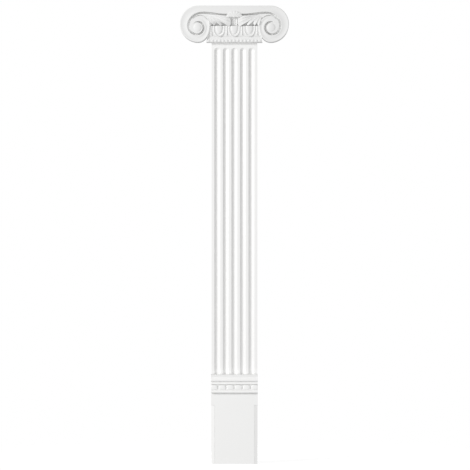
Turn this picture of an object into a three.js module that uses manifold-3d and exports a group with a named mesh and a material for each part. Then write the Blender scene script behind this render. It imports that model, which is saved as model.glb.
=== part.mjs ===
// A tall wall pilaster in three castings: a pedestal base, a fluted shaft and a scrolled capital.
// Millimetres, +Z up. The flat backs lie on the wall plane y = 0 and the faces look along -Y.
// The origin is in the middle of the shaft's back.
import * as THREE from 'three';
import { mergeVertices } from 'three/addons/utils/BufferGeometryUtils.js';
import Module from 'manifold-3d';

const wasm = await Module();
wasm.setup();

// Joint between two castings that stand on each other
const jointGap = 0.3;

// Shaft: a flat plate with flutes that close round at the top and run out at the foot
const shaftHeight = 2000;
const shaftWidth = 275;
const shaftDepth = 35;
const fluteCount = 5;
const fluteWidth = 34;
const fluteDepth = 11;
const fluteTopMargin = 33; // plain plate above the flutes
const fluteFacets = 26; // sides of a whole round

// Base: a moulded crown, a plain frieze and a die with sunk side strips
const baseHeight = 540;
const baseOverhang = 3; // beyond the shaft on each side
const friezeProjection = 15; // in front of the shaft's face; the next ones are in front of the frieze
const crownProjection = 13;
const crownFilletHeight = 17;
const crownFilletLean = 3.5; // how far it leans back at its foot
const crownRoundHeight = 25;
const crownRoundProjection = 18; // at the fullest point of the round, which swells out of the fillet
const quirkHeight = 4.5; // the sunk line between two mouldings
const quirkProjection = 9;
const beadHeight = 13;
const beadProjection = 13;
const tongueRowHeight = 28;
const tongueGroundProjection = 2;
const tongueCount = 6;
const tongueTrim = 7; // how much of the end tongues the base's sides cut off
const tongueRelief = 9;
const tongueArch = 14; // height of a tongue's arched top
const tongueDrop = 2; // from the bead down to the tongues' tops
const tongueGap = 1.2; // between two tongues at their widest
const tongueBandHeight = 8; // the band that the tongues stand on
const tongueBandProjection = 8;
const bandQuirkHeight = 3;
const footRoundHeight = 11.5;
const footRoundProjection = 12;
const roundLean = 0.45; // a moulding's round is fullest below its middle when this is under one
const shadowLineHeight = 3.5;
const shadowLineSunk = 8; // behind the frieze
const friezeHeight = 71;
const stripWidth = 21; // bevelled strip along each side of the die
const stripStep = 0.6; // behind the die at its inner line
const stripSunk = 4.5; // and at its outer one
const stripStop = 3; // height of the quarter round that ends it under the frieze
const stripInset = 1.4; // the strip's outer edge stands in from the frieze's side

// Capital's neck, which returns to the wall at both ends; "rise" is measured up from the capital's underside
const capitalHeight = 220;
const neckProjection = 28; // beyond the shaft on each side
const neckLead = 18; // in front of the shaft
const neckFootLead = 3; // its foot in front of the neck
const astragalRise = 10; // middle of the row of beads
const astragalRadius = 6;
const astragalLead = 2; // its middle in front of the neck
const pearlCount = 15;
const pearlRadius = 8;

// Egg moulding over the neck
const eggMouldingRise = 37;
const eggMouldingHeight = 62;
const eggMouldingTopLead = 5; // in front of the neck at its top
const eggMouldingFootLead = 2;
const eggCount = 3;
const eggMargin = 9; // from the last dart to the side of the scroll
const eggHalfWidth = 21.5;
const eggShoulder = 12; // where an egg is widest, under the moulding's top, which cuts it off
const eggFoot = 12; // from an egg's foot to the moulding's foot
const eggNarrowing = 0.12; // towards its foot
const eggRelief = 8;
const shellGap = 9.5; // from an egg's side to the middle of the raised shell round it
const shellThickness = 8;
const shellRelief = 6;
const dartHalfWidth = 8.5;
const dartFoot = 5;
const dartRelief = 7;
const carvingBed = 8; // how far eggs, shells and darts reach into the moulding's ground

// Scrolls
const scrollOverhang = 190.5; // beyond the shaft on each side
const scrollLead = 12; // the scroll's face in front of the neck
const scrollEdgeRound = 4;
const bolsterWaist = 9; // how far the scroll's side is hollowed between wall and face
const fieldSunk = 9; // of the field between the top band and the eggs
const fieldTailEnd = THREE.MathUtils.degToRad(58); // where the field's tail closes on the groove
const scrollInnerReach = 71; // from the scroll's middle to its inner side
const eyeRadius = 25;
const eyeRise = 4;
const grooveWidth = 11;
const grooveFlowerWidth = 15; // where it starts beside the flower
const grooveSunk = 24;
const turnQuirkWidth = 7; // the narrow line beside the scroll's second turn, at its middle
const turnQuirkSunk = 16;
const turnQuirkStart = 3.3; // in quarter turns of the scroll
const turnQuirkEnd = 4.6;
const bandFillet = 7; // flat left on each side of the hollow in the scroll's band
const bandHollow = 2;
const hollowEnd = 4.3; // quarter turns of the scroll that the hollow runs along
const fadeStart = 0.8; // groove and hollow fade out over the rest of their length

// Proportions of the scroll's drawing, as shares of the capital's height
const eyeDrop = 0.595;
const eyeShift = 0.018; // outwards from the scroll's middle
const innerSideDrop = 0.573;
const secondTurnDrop = 0.282;
const secondTurnShift = 0.032; // inwards from the scroll's middle
const secondTurnEnd = 0.227; // radius on which the second turn runs out
const grooveDipDrop = 0.255; // where the top band hangs lowest
// The groove's distance from the eye is core + reach * exp(-angle / decay)
const spiralCore = 0.15;
const spiralReach = 0.227;
const spiralDecay = THREE.MathUtils.degToRad(100);
const spiralStart = THREE.MathUtils.degToRad(-22);
const spiralEnd = THREE.MathUtils.degToRad(408);

// Leaves that hang from the scrolls over the eggs, and the flower in the middle
const leafRootShift = 19; // outwards from the scroll's inner side
const leafRootBelow = 64; // under the capital's top
const leafRootSpread = 22; // how far its veins stand apart where they spring
const leafRootSunk = 9.5;
const leafLead = 5; // its fullest part in front of the scroll's face
const leafCurl = 4; // how far its tips turn back
const leafValley = 3.5;
const slotSunk = 26; // the dark slot behind the lobes
const slotRise = 30; // over the eggs' top edge
const stemHalfWidth = 20;
const stemSunk = 18;
const stemReedCount = 3;
const flowerHalfWidth = 50;
const flowerTop = 31; // under the capital's top
const flowerHeight = 37;
const flowerPetals = 7;
const flowerLead = 5;
const flowerCrease = 1.2; // between two petals
const flowerScallop = 0.06; // how much of the reach the edge draws in between two petals

// Derived places; "below" is measured down from the top of the capital or base, "x" out from the middle
const shaftTop = shaftHeight / 2;
const capitalTop = shaftTop + jointGap + capitalHeight;
const baseTop = -shaftTop - jointGap;
const baseWidth = shaftWidth + 2 * baseOverhang;
const friezeDepth = shaftDepth + friezeProjection;
const crownDepth = friezeDepth + crownProjection;
const tongueGroundDepth = friezeDepth + tongueGroundProjection;
const tonguePitch = (baseWidth + 2 * tongueTrim) / tongueCount;
const neckHalfWidth = shaftWidth / 2 + neckProjection;
const neckDepth = shaftDepth + neckLead;
const astragalBelow = capitalHeight - astragalRise;
const echinusBottom = capitalHeight - eggMouldingRise;
const echinusTop = echinusBottom - eggMouldingHeight;
const echinusTopDepth = neckDepth + eggMouldingTopLead;
const echinusFootDepth = neckDepth + eggMouldingFootLead;
const scrollRadius = capitalHeight / 2;
const scrollX = shaftWidth / 2 + scrollOverhang - scrollRadius;
const scrollInnerX = scrollX - scrollInnerReach;
const scrollFaceDepth = neckDepth + scrollLead;
const eggPitch = (2 * (scrollInnerX - eggMargin)) / eggCount;
const eyeX = scrollX + eyeShift * capitalHeight;
const eyeBelow = eyeDrop * capitalHeight;
const grooveDipBelow = grooveDipDrop * capitalHeight;
const grooveDipX = flowerHalfWidth + 4;
const flowerFoot = flowerTop + flowerHeight;
const bed = 1; // how far a carved form is bedded into the form that carries it

// Front-view place on the capital: distance out, distance below the top and depth from the wall
function onCapital(x, below, depth) {
  return new THREE.Vector3(x, -depth, capitalTop - below);
}

// Zero below the first value, one above the second, and a soft step between
function softStep(low, high, value) {
  return THREE.MathUtils.smoothstep(value, low, high);
}

// A closed mesh as a solid with its faces pointing out
function solidFromTriangles(points, triangles) {
  const corners = new Float32Array(points.flatMap((p) => [p.x, p.y, p.z]));
  const geometry = new THREE.BufferGeometry();
  geometry.setAttribute('position', new THREE.BufferAttribute(corners, 3));
  geometry.setIndex(triangles.flat());
  return solidFromGeometry(geometry);
}

function signedVolume(positions, index) {
  const a = new THREE.Vector3();
  const b = new THREE.Vector3();
  const c = new THREE.Vector3();
  let sum = 0;
  for (let i = 0; i < index.length; i += 3) {
    a.fromArray(positions, index[i] * 3);
    b.fromArray(positions, index[i + 1] * 3);
    c.fromArray(positions, index[i + 2] * 3);
    sum += a.dot(b.cross(c));
  }
  return sum / 6;
}

function solidFromGeometry(geometry) {
  const bare = geometry.clone();
  bare.deleteAttribute('normal');
  bare.deleteAttribute('uv');
  const merged = mergeVertices(bare, 1e-4);
  const vertProperties = new Float32Array(merged.attributes.position.array);
  const triVerts = new Uint32Array(merged.index.array);
  if (signedVolume(vertProperties, triVerts) < 0) {
    for (let i = 0; i < triVerts.length; i += 3) {
      [triVerts[i], triVerts[i + 1]] = [triVerts[i + 1], triVerts[i]];
    }
  }
  return new wasm.Manifold(new wasm.Mesh({ numProp: 3, vertProperties, triVerts }));
}

// Triangles that fill a flat outline, turning the same way round as the outline does
function fillOf(outline) {
  const faces = THREE.ShapeUtils.triangulateShape(outline, []);
  const [i, j, k] = faces[0];
  const faceArea = THREE.ShapeUtils.area([outline[i], outline[j], outline[k]]);
  const alike = Math.sign(faceArea) === Math.sign(THREE.ShapeUtils.area(outline));
  return alike ? faces : faces.map(([a, b, c]) => [c, b, a]);
}

// A body through a row of closed sections with as many points each; capTriangles closes the first and last
function loft(sections, capTriangles) {
  const count = sections[0].length;
  const caps = capTriangles ?? Array.from({ length: count - 2 }, (_, i) => [0, i + 1, i + 2]);
  const triangles = [];
  for (let s = 0; s + 1 < sections.length; s += 1) {
    for (let i = 0; i < count; i += 1) {
      const a = s * count + i;
      const b = s * count + ((i + 1) % count);
      triangles.push([a, b, b + count], [a, b + count, a + count]);
    }
  }
  const last = (sections.length - 1) * count;
  for (const [i, j, k] of caps) {
    triangles.push([k, j, i], [i + last, j + last, k + last]);
  }
  return solidFromTriangles(sections.flat(), triangles);
}

// A carved patch: its front follows pointAt(row, column), and its walls go straight back to one depth
function reliefPatch(rows, columns, pointAt, backDepth) {
  const points = [];
  for (let layer = 0; layer < 2; layer += 1) {
    for (let r = 0; r <= rows; r += 1) {
      for (let c = 0; c <= columns; c += 1) {
        const point = pointAt(r / rows, c / columns);
        points.push(layer ? new THREE.Vector3(point.x, -backDepth, point.z) : point);
      }
    }
  }
  const wide = columns + 1;
  const back = (rows + 1) * wide;
  const triangles = [];
  for (let r = 0; r < rows; r += 1) {
    for (let c = 0; c < columns; c += 1) {
      const a = r * wide + c;
      triangles.push([a, a + 1, a + wide + 1], [a, a + wide + 1, a + wide]);
      const b = back + a;
      triangles.push([b, b + wide + 1, b + 1], [b, b + wide, b + wide + 1]);
    }
  }
  const rim = [];
  for (let c = 0; c < columns; c += 1) {
    rim.push([c + 1, c], [rows * wide + c, rows * wide + c + 1]);
  }
  for (let r = 0; r < rows; r += 1) {
    rim.push([r * wide, (r + 1) * wide], [(r + 1) * wide + columns, r * wide + columns]);
  }
  for (const [a, b] of rim) {
    triangles.push([a, b, back + b], [a, back + b, back + a]);
  }
  return solidFromTriangles(points, triangles);
}

// An outline in the front view, carried straight from one depth to another
function plateOf(outline, fromDepth, toDepth) {
  const flat = outline.map(([x, below]) => new THREE.Vector2(x, -below));
  const faces = fillOf(flat);
  const sections = [fromDepth, toDepth].map((depth) => (
    outline.map(([x, below]) => onCapital(x, below, depth))
  ));
  return loft(sections, faces);
}

function boxBetween(low, high) {
  const size = new THREE.Vector3().subVectors(high, low);
  const middle = new THREE.Vector3().addVectors(low, high).multiplyScalar(0.5);
  const geometry = new THREE.BoxGeometry(size.x, size.y, size.z);
  geometry.translate(middle.x, middle.y, middle.z);
  return solidFromGeometry(geometry);
}

// A ball with three half-sizes; shape may move each point of the unit ball first
function ellipsoid(middle, halfX, halfDepth, halfHeight, around, rings, shape = (point) => point) {
  const geometry = new THREE.SphereGeometry(1, around, rings);
  const position = geometry.attributes.position;
  for (let i = 0; i < position.count; i += 1) {
    const point = shape(new THREE.Vector3().fromBufferAttribute(position, i));
    const moved = [point.x * halfX, point.z * halfDepth, point.y * halfHeight];
    position.setXYZ(i, middle.x + moved[0], middle.y + moved[1], middle.z + moved[2]);
  }
  return solidFromGeometry(geometry);
}

function joined(solids) {
  return wasm.Manifold.union(solids);
}

// The other half of a solid, mirrored in the plane x = 0
function withMirror(solid) {
  return joined([solid, solid.mirror([1, 0, 0])]);
}

// The outer edge of a scroll's band as quarter ellipses; turn counts quarters from its top, outwards and down
const secondTurn = [scrollX - secondTurnShift * capitalHeight, secondTurnDrop * capitalHeight];
const scrollExtremes = [
  [scrollX, 0],
  [scrollX + scrollRadius, scrollRadius],
  [scrollX, capitalHeight],
  [scrollInnerX, innerSideDrop * capitalHeight],
  secondTurn,
  secondTurn.map((place) => place + secondTurnEnd * capitalHeight),
];

function scrollEdge(turn) {
  const quarter = Math.min(Math.floor(turn), scrollExtremes.length - 2);
  const [from, to] = [scrollExtremes[quarter], scrollExtremes[quarter + 1]];
  const upright = quarter % 2 === 0; // the quarter starts at a top or a bottom
  const centre = upright ? [from[0], to[1]] : [to[0], from[1]];
  const radii = [Math.abs(to[0] - from[0]), Math.abs(to[1] - from[1])];
  const angle = (turn * Math.PI) / 2;
  return [centre[0] + radii[0] * Math.sin(angle), centre[1] - radii[1] * Math.cos(angle)];
}

// The middle of the groove at an angle round the eye
function spiralPoint(angle) {
  const reach = (spiralCore + spiralReach * Math.exp(-angle / spiralDecay)) * capitalHeight;
  return [eyeX + reach * Math.sin(angle), eyeBelow - reach * Math.cos(angle)];
}

// The groove's whole line from the middle shell out to its end beside the eye
function grooveLine(topSteps, spiralSteps) {
  const start = spiralPoint(spiralStart);
  const line = [];
  for (let i = 0; i < topSteps; i += 1) {
    const share = i / topSteps;
    const x = THREE.MathUtils.lerp(flowerHalfWidth * 0.5, start[0], share);
    const below = THREE.MathUtils.lerp(grooveDipBelow, start[1], softStep(grooveDipX, start[0], x));
    line.push([x, below]);
  }
  for (let i = 0; i <= spiralSteps; i += 1) {
    line.push(spiralPoint(THREE.MathUtils.lerp(spiralStart, spiralEnd, i / spiralSteps)));
  }
  return line;
}

// A channel along a line in the front view; sizeAt gives its half width and floor depth from the share run
function channel(line, sizeAt) {
  const sections = line.map(([x, below], i) => {
    const [x0, below0] = line[Math.max(i - 1, 0)];
    const [x1, below1] = line[Math.min(i + 1, line.length - 1)];
    const run = Math.hypot(x1 - x0, below1 - below0);
    const across = [-(below1 - below0) / run, (x1 - x0) / run];
    const { half, floorHalf, floor, open } = sizeAt(i / (line.length - 1), i);
    const corner = (reach, depth) => onCapital(x + across[0] * reach, below + across[1] * reach, depth);
    return [corner(-half, open), corner(-floorHalf, floor), corner(floorHalf, floor), corner(half, open)];
  });
  return loft(sections);
}

// The scroll body: the outline of both scrolls and the band between them, hollowed round the sides
function scrollBody() {
  const steps = 27; // along three quarters of a turn
  const half = [];
  for (let i = 0; i <= steps; i += 1) {
    const turn = (i / steps) * 3;
    const angle = (turn * Math.PI) / 2;
    const [x, below] = scrollEdge(turn);
    half.push({ x, below, outX: Math.sin(angle), outBelow: Math.max(0, -Math.cos(angle)) });
  }
  const inner = half[half.length - 1];
  half.push({ x: inner.x, below: echinusTop, outX: -1, outBelow: 0 });
  const outline = half.concat(half.slice().reverse().map((p) => ({ ...p, x: -p.x, outX: -p.outX })));
  const stations = [
    [0, 0],
    [scrollFaceDepth * 0.12, 0],
    [scrollFaceDepth * 0.34, bolsterWaist],
    [scrollFaceDepth * 0.64, bolsterWaist],
    [scrollFaceDepth * 0.86, 0],
    [scrollFaceDepth - scrollEdgeRound, 0],
    [scrollFaceDepth, scrollEdgeRound],
  ];
  const flat = outline.map((p) => new THREE.Vector2(p.x, -p.below));
  const faces = fillOf(flat);
  const sections = stations.map(([depth, inset]) => (
    outline.map((p) => onCapital(p.x - p.outX * inset, p.below - p.outBelow * inset, depth))
  ));
  return loft(sections, faces);
}

// The sunk field: under the groove, down to the eggs, with a tail between groove and second turn that ends in
// a point
function fieldCut() {
  const right = [];
  for (const [x, below] of grooveLine(5, 24)) {
    const angle = Math.atan2(x - eyeX, eyeBelow - below);
    if (angle > fieldTailEnd || below > eyeBelow) {
      break;
    }
    right.push([x, below]);
  }
  const steps = 8;
  for (let i = steps; i > 0; i -= 1) {
    const share = i / steps;
    const edge = scrollEdge(4 + share * 0.7);
    const line = spiralPoint(fieldTailEnd * share);
    const merge = share ** 2;
    right.push([0, 1].map((axis) => THREE.MathUtils.lerp(edge[axis], line[axis], merge)));
  }
  for (let i = steps; i >= 0; i -= 1) {
    right.push(scrollEdge(3 + i / steps));
  }
  const outline = right.concat(right.slice().reverse().map(([x, below]) => [-x, below]));
  return plateOf(outline, scrollFaceDepth - fieldSunk, scrollFaceDepth + bed);
}

// The hollow along the scroll's band, between two flat fillets
function bandHollowCut() {
  const steps = 26;
  const line = [];
  const halves = [];
  const firstX = -bed;
  const topSteps = 5;
  const place = (outer, inner) => {
    line.push([(outer[0] + inner[0]) / 2, (outer[1] + inner[1]) / 2]);
    const width = Math.hypot(outer[0] - inner[0], outer[1] - inner[1]);
    halves.push(Math.max(width / 2 - bandFillet, bed));
  };
  const top = spiralPoint(0);
  for (let i = 0; i < topSteps; i += 1) {
    const x = THREE.MathUtils.lerp(firstX, scrollExtremes[0][0], i / topSteps);
    const below = THREE.MathUtils.lerp(grooveDipBelow, top[1], softStep(grooveDipX, top[0], x));
    place([x, 0], [x, below - grooveWidth / 2]);
  }
  for (let i = 0; i <= steps; i += 1) {
    const turn = (i / steps) * hollowEnd;
    const angle = (turn * Math.PI) / 2;
    const [x, below] = spiralPoint(angle);
    const out = [Math.sin(angle) * grooveWidth / 2, Math.cos(angle) * grooveWidth / 2];
    place(scrollEdge(turn), [x + out[0], below - out[1]]);
  }
  return channel(line, (share, i) => {
    const fade = 1 - softStep(fadeStart, 1, share) * 0.85;
    return {
      half: halves[i] * fade + bed,
      floorHalf: halves[i] * fade * 0.55,
      floor: scrollFaceDepth - bandHollow * fade,
      open: scrollFaceDepth + bed,
    };
  });
}

function grooveCut() {
  return channel(grooveLine(5, 36), (share) => {
    const fade = 1 - softStep(fadeStart, 1, share);
    const width = THREE.MathUtils.lerp(grooveFlowerWidth, grooveWidth, softStep(0, 0.15, share));
    return {
      half: width / 2 * (0.35 + 0.65 * fade),
      floorHalf: width / 4 * (0.35 + 0.65 * fade),
      floor: scrollFaceDepth - grooveSunk * (0.15 + 0.85 * fade),
      open: scrollFaceDepth + bed,
    };
  });
}

// The narrow line beside the scroll's second turn, deepest at its middle
function turnQuirkCut() {
  const steps = 12;
  const line = [];
  for (let i = 0; i <= steps; i += 1) {
    const swell = 0.25 + 0.75 * Math.sin(Math.PI * (i / steps));
    const turn = THREE.MathUtils.lerp(turnQuirkStart, turnQuirkEnd, i / steps);
    const [x, below] = scrollEdge(turn);
    const [nextX, nextBelow] = scrollEdge(turn + 0.01);
    const run = Math.hypot(nextX - x, nextBelow - below);
    const out = turnQuirkWidth / 2 * swell;
    line.push([x + (nextBelow - below) / run * out, below - (nextX - x) / run * out]);
  }
  return channel(line, (share) => {
    const swell = 0.25 + 0.75 * Math.sin(Math.PI * share);
    return {
      half: turnQuirkWidth / 2 * swell,
      floorHalf: turnQuirkWidth / 3 * swell,
      floor: scrollFaceDepth - THREE.MathUtils.lerp(fieldSunk, turnQuirkSunk, swell),
      open: scrollFaceDepth + bed,
    };
  });
}

function scrollEye() {
  const middle = onCapital(eyeX, eyeBelow, scrollFaceDepth - bed);
  return ellipsoid(middle, eyeRadius, eyeRise + bed, eyeRadius, 16, 8);
}

// A block whose plan grows and shrinks with the height, mitred at its corners; steps are [below, depth]
function neckBlock() {
  const astragal = [];
  const facets = 6;
  for (let i = 0; i <= facets; i += 1) {
    const angle = Math.PI * (i / facets);
    const depth = neckDepth + astragalLead * Math.sin(angle);
    astragal.push([astragalBelow - astragalRadius * Math.cos(angle), depth]);
  }
  const foot = astragalBelow + astragalRadius;
  const footDepth = neckDepth + neckFootLead;
  const steps = [
    [echinusTop, echinusTopDepth],
    [echinusTop + (echinusBottom - echinusTop) * 0.5, (echinusTopDepth + echinusFootDepth) / 2 + 2],
    [echinusBottom, echinusFootDepth],
    [echinusBottom + bed * 2, neckDepth],
    ...astragal,
    [foot + bed, footDepth],
    [capitalHeight, footDepth],
  ];
  const sections = steps.map(([below, depth]) => {
    const half = neckHalfWidth + depth - neckDepth;
    return [
      onCapital(-half, below, 0),
      onCapital(-half, below, depth),
      onCapital(half, below, depth),
      onCapital(half, below, 0),
    ];
  });
  return loft(sections);
}

function pearls() {
  const pitch = (neckHalfWidth * 2) / pearlCount;
  const row = [];
  for (let i = 0; i < pearlCount; i += 1) {
    const x = -neckHalfWidth + pitch * (i + 0.5);
    const middle = onCapital(x, astragalBelow, neckDepth - astragalRadius / 2);
    row.push(ellipsoid(middle, pitch / 2 - 0.2, pearlRadius, pearlRadius, 8, 6));
  }
  return joined(row);
}

// An egg: a ball narrowed towards its foot and flattened in front
function eggAt(x) {
  const shape = (point) => {
    const narrow = 1 - eggNarrowing * Math.max(0, -point.y) ** 2;
    const lead = Math.cbrt(1 - Math.max(0, 1 - point.z ** 2) ** 1.5);
    return new THREE.Vector3(point.x * narrow, point.y, Math.sign(point.z) * lead);
  };
  const halfHeight = eggMouldingHeight - eggShoulder - eggFoot;
  const middle = onCapital(x, echinusTop + eggShoulder, echinusFootDepth);
  return ellipsoid(middle, eggHalfWidth, eggRelief, halfHeight, 16, 8, shape);
}

// The raised shell round an egg: two straight sides and a half-round foot, with a rounded section
function shellAt(x) {
  const steps = 12;
  const halfWidth = eggHalfWidth + shellGap;
  const bend = echinusBottom - halfWidth * 1.35;
  const line = [[-halfWidth, echinusTop - 4, Math.PI / 2]];
  for (let i = 0; i <= steps; i += 1) {
    const angle = Math.PI / 2 - Math.PI * (i / steps);
    line.push([-halfWidth * Math.sin(angle), bend + (echinusBottom - bend) * Math.cos(angle), angle]);
  }
  line.push([halfWidth, echinusTop - 4, -Math.PI / 2]);
  const back = echinusFootDepth - carvingBed;
  const front = echinusFootDepth + shellRelief;
  const sections = line.map(([dx, below, angle]) => {
    const out = [-Math.sin(angle), Math.cos(angle)];
    const corner = (reach, depth) => (
      onCapital(x + dx + out[0] * reach * shellThickness, below + out[1] * reach * shellThickness, depth)
    );
    const ridge = [
      corner(-0.4, front - shellRelief * 0.35),
      corner(-0.1, front),
      corner(0.25, front - shellRelief * 0.12),
    ];
    return [corner(-0.5, back), ...ridge, corner(0.5, back)];
  });
  return loft(sections);
}

// A dart: a ridged blade that swells to an arrow head and comes to a point
function dartAt(x) {
  const length = eggMouldingHeight - dartFoot;
  const blade = [
    [echinusTop - 4, 1],
    [echinusTop + length * 0.3, 0.8],
    [echinusTop + length * 0.56, 0.4],
    [echinusTop + length * 0.7, 0.85],
    [echinusTop + length, 0.06],
  ];
  const front = echinusFootDepth + dartRelief;
  const back = echinusFootDepth - carvingBed;
  const sections = blade.map(([below, share]) => {
    const half = dartHalfWidth * share;
    return [
      onCapital(x - half, below, back),
      onCapital(x - half, below, front - dartRelief / 2),
      onCapital(x, below, front),
      onCapital(x + half, below, front - dartRelief / 2),
      onCapital(x + half, below, back),
    ];
  });
  return loft(sections);
}

function eggsAndDarts() {
  const row = [];
  for (let i = 0; i < eggCount; i += 1) {
    const x = (i - (eggCount - 1) / 2) * eggPitch;
    row.push(eggAt(x), shellAt(x), dartAt(x - eggPitch / 2));
  }
  row.push(dartAt((eggCount / 2) * eggPitch));
  const reach = eggCount * eggPitch;
  const above = boxBetween(onCapital(-reach, echinusTop, scrollFaceDepth * 2), onCapital(reach, 0, -bed));
  return joined(row).subtract(above);
}

// One leaf: it springs from the scroll and its lobes hang over the eggs. Each lobe has an inner side, a tip
// and an outer side, and beyond it a notch, as shares of the way from the stem to the scroll; the last three
// are the rises of its tip, its shoulders and the notch over the eggs' top edge.
const lobes = [
  { inner: 0.02, tip: 0.11, outer: 0.22, notch: 0.48, tipRise: -3, shoulder: 5, notchRise: 21 },
  { inner: 0.43, tip: 0.5, outer: 0.58, notch: 0.67, tipRise: 2, shoulder: 8, notchRise: 24 },
  { inner: 0.76, tip: 0.81, outer: 0.85, notch: 0.9, tipRise: 1, shoulder: 8, notchRise: 14 },
  { inner: 0.95, tip: 1, outer: 1.04, notch: 1.09, tipRise: -2, shoulder: 4, notchRise: 12 },
];

// The leaf's edge: down the side of the stem by veins, then by lobes and notches to the scroll
function leafEdge() {
  const edge = [
    { x: flowerHalfWidth * 0.85, below: flowerFoot - 7, ridge: 0.2 },
    { x: flowerHalfWidth * 0.6, below: flowerFoot + 2, ridge: -0.7 },
    { x: stemHalfWidth + 3, below: flowerFoot + 12, ridge: 0.7 },
    { x: stemHalfWidth, below: flowerFoot + 23, ridge: -0.5 },
    { x: stemHalfWidth, below: flowerFoot + 34, ridge: 0.8 },
  ];
  const across = (share) => THREE.MathUtils.lerp(stemHalfWidth, scrollInnerX, share);
  for (const lobe of lobes) {
    edge.push({ x: across(lobe.inner), below: echinusTop - lobe.shoulder, ridge: 0 });
    edge.push({ x: across(lobe.tip), below: echinusTop - lobe.tipRise, ridge: 1 });
    edge.push({ x: across(lobe.outer), below: echinusTop - lobe.shoulder, ridge: 0 });
    edge.push({ x: across(lobe.notch), below: echinusTop - lobe.notchRise, ridge: -1 });
  }
  return edge;
}

function leaf() {
  const edge = leafEdge();
  const rows = 5;
  return reliefPatch(rows, edge.length - 1, (row, column) => {
    const at = edge[Math.round(column * (edge.length - 1))];
    const rootX = scrollInnerX + leafRootShift - leafRootSpread * (1 - column);
    const rootBelow = leafRootBelow - leafRootSpread / 2 * (1 - column);
    const x = THREE.MathUtils.lerp(rootX, at.x, row);
    const below = THREE.MathUtils.lerp(rootBelow, at.below, row ** 1.15);
    const swell = (leafRootSunk + leafLead) * Math.sin(Math.min(row * 1.25, 1) * Math.PI / 2);
    const body = scrollFaceDepth - leafRootSunk + swell;
    const curl = leafCurl * softStep(0.75, 1, row);
    const vein = leafValley / 2 * (at.ridge - 1) * softStep(0, 0.5, row);
    return onCapital(x, below, body - curl + vein);
  }, scrollFaceDepth - slotSunk - bed);
}

// The recess between the two leaves, over the middle egg, with upright reeds
function stemRecess() {
  const outline = [
    [-stemHalfWidth, flowerFoot - 2],
    [stemHalfWidth, flowerFoot - 2],
    [stemHalfWidth, echinusTop],
    [-stemHalfWidth, echinusTop],
  ];
  return plateOf(outline, scrollFaceDepth - stemSunk, scrollFaceDepth + flowerLead);
}

function stemReeds() {
  const pitch = (stemHalfWidth * 2) / stemReedCount;
  const row = [];
  for (let i = 0; i < stemReedCount; i += 1) {
    const x = -stemHalfWidth + pitch * (i + 0.5);
    const middleBelow = (flowerFoot + echinusTop) / 2;
    const half = (echinusTop - flowerFoot) / 2 + 4;
    const middle = onCapital(x, middleBelow, scrollFaceDepth - stemSunk - 2);
    row.push(ellipsoid(middle, pitch / 2 - 0.8, 7, half, 8, 4));
  }
  return joined(row);
}

// The deep slot over the eggs, which the leaf's lobes hang into, so that the notches between them go far back
function slotCut() {
  const [, scrollBelow] = scrollEdge(3.25);
  const start = stemHalfWidth - bed;
  const outline = [
    [start, echinusTop - slotRise],
    [start, echinusTop],
    [scrollInnerX, echinusTop],
    [scrollInnerX, scrollBelow],
    [THREE.MathUtils.lerp(start, scrollInnerX, 0.7), echinusTop - slotRise],
  ];
  return plateOf(outline, scrollFaceDepth - slotSunk, scrollFaceDepth + bed);
}

// The flower in the middle: a fan of petals, and the boss at its foot
function flower() {
  const rows = 4;
  const fan = reliefPatch(rows, flowerPetals * 4, (row, column) => {
    const reach = Math.sin(THREE.MathUtils.lerp(0.04, 1, row) * Math.PI / 2);
    const turn = Math.PI * (column - 0.5);
    const petal = Math.abs(Math.sin(column * flowerPetals * Math.PI));
    const share = reach * (1 - flowerScallop + flowerScallop * Math.sqrt(petal));
    const crease = flowerCrease * (1 - petal) ** 2 * softStep(0.1, 0.6, reach);
    const lead = flowerLead * Math.sqrt(Math.max(0, 1 - reach ** 3));
    const x = flowerHalfWidth * Math.sin(turn) * share;
    const below = flowerFoot - flowerHeight * Math.cos(turn) * share;
    return onCapital(x, below, scrollFaceDepth + lead - crease);
  }, scrollFaceDepth - stemSunk);
  const boss = ellipsoid(onCapital(0, flowerFoot - 2, scrollFaceDepth), 9, flowerLead + 2, 7, 12, 6);
  return joined([fan, boss]);
}

function capitalSolid() {
  let body = scrollBody();
  body = body.subtract(fieldCut());
  body = body.subtract(withMirror(bandHollowCut()));
  body = body.subtract(withMirror(grooveCut()));
  body = body.subtract(withMirror(turnQuirkCut()));
  body = body.subtract(withMirror(slotCut()));
  body = body.add(withMirror(scrollEye()));
  body = body.add(withMirror(leaf()));
  body = body.subtract(stemRecess());
  return joined([body, neckBlock(), stemReeds(), flower(), eggsAndDarts(), pearls()]);
}

// One flute as the round tool that would cut it: a long bar with a ball end
function fluteCutter(x) {
  const radius = ((fluteWidth / 2) ** 2 + fluteDepth ** 2) / (2 * fluteDepth);
  const ballSteps = 8;
  const top = shaftTop - fluteTopMargin - fluteWidth / 2;
  const length = top + shaftTop + radius;
  const profile = [new THREE.Vector2(0, -length), new THREE.Vector2(radius, -length)];
  for (let i = 0; i <= ballSteps; i += 1) {
    const angle = (Math.PI / 2) * (i / ballSteps);
    const out = i === ballSteps ? 0 : radius * Math.cos(angle);
    profile.push(new THREE.Vector2(out, fluteWidth / 2 * Math.sin(angle)));
  }
  const geometry = new THREE.LatheGeometry(profile, fluteFacets);
  geometry.rotateX(Math.PI / 2);
  geometry.translate(x, -(shaftDepth + radius - fluteDepth), top);
  return solidFromGeometry(geometry);
}

function shaftSolid() {
  const half = shaftWidth / 2;
  const low = new THREE.Vector3(-half, -shaftDepth, -shaftTop);
  let plate = boxBetween(low, new THREE.Vector3(half, 0, shaftTop));
  const fillet = (shaftWidth - fluteCount * fluteWidth) / (fluteCount + 1);
  for (let i = 0; i < fluteCount; i += 1) {
    const x = -half + fillet + fluteWidth / 2 + i * (fillet + fluteWidth);
    plate = plate.subtract(fluteCutter(x));
  }
  return plate;
}

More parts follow.
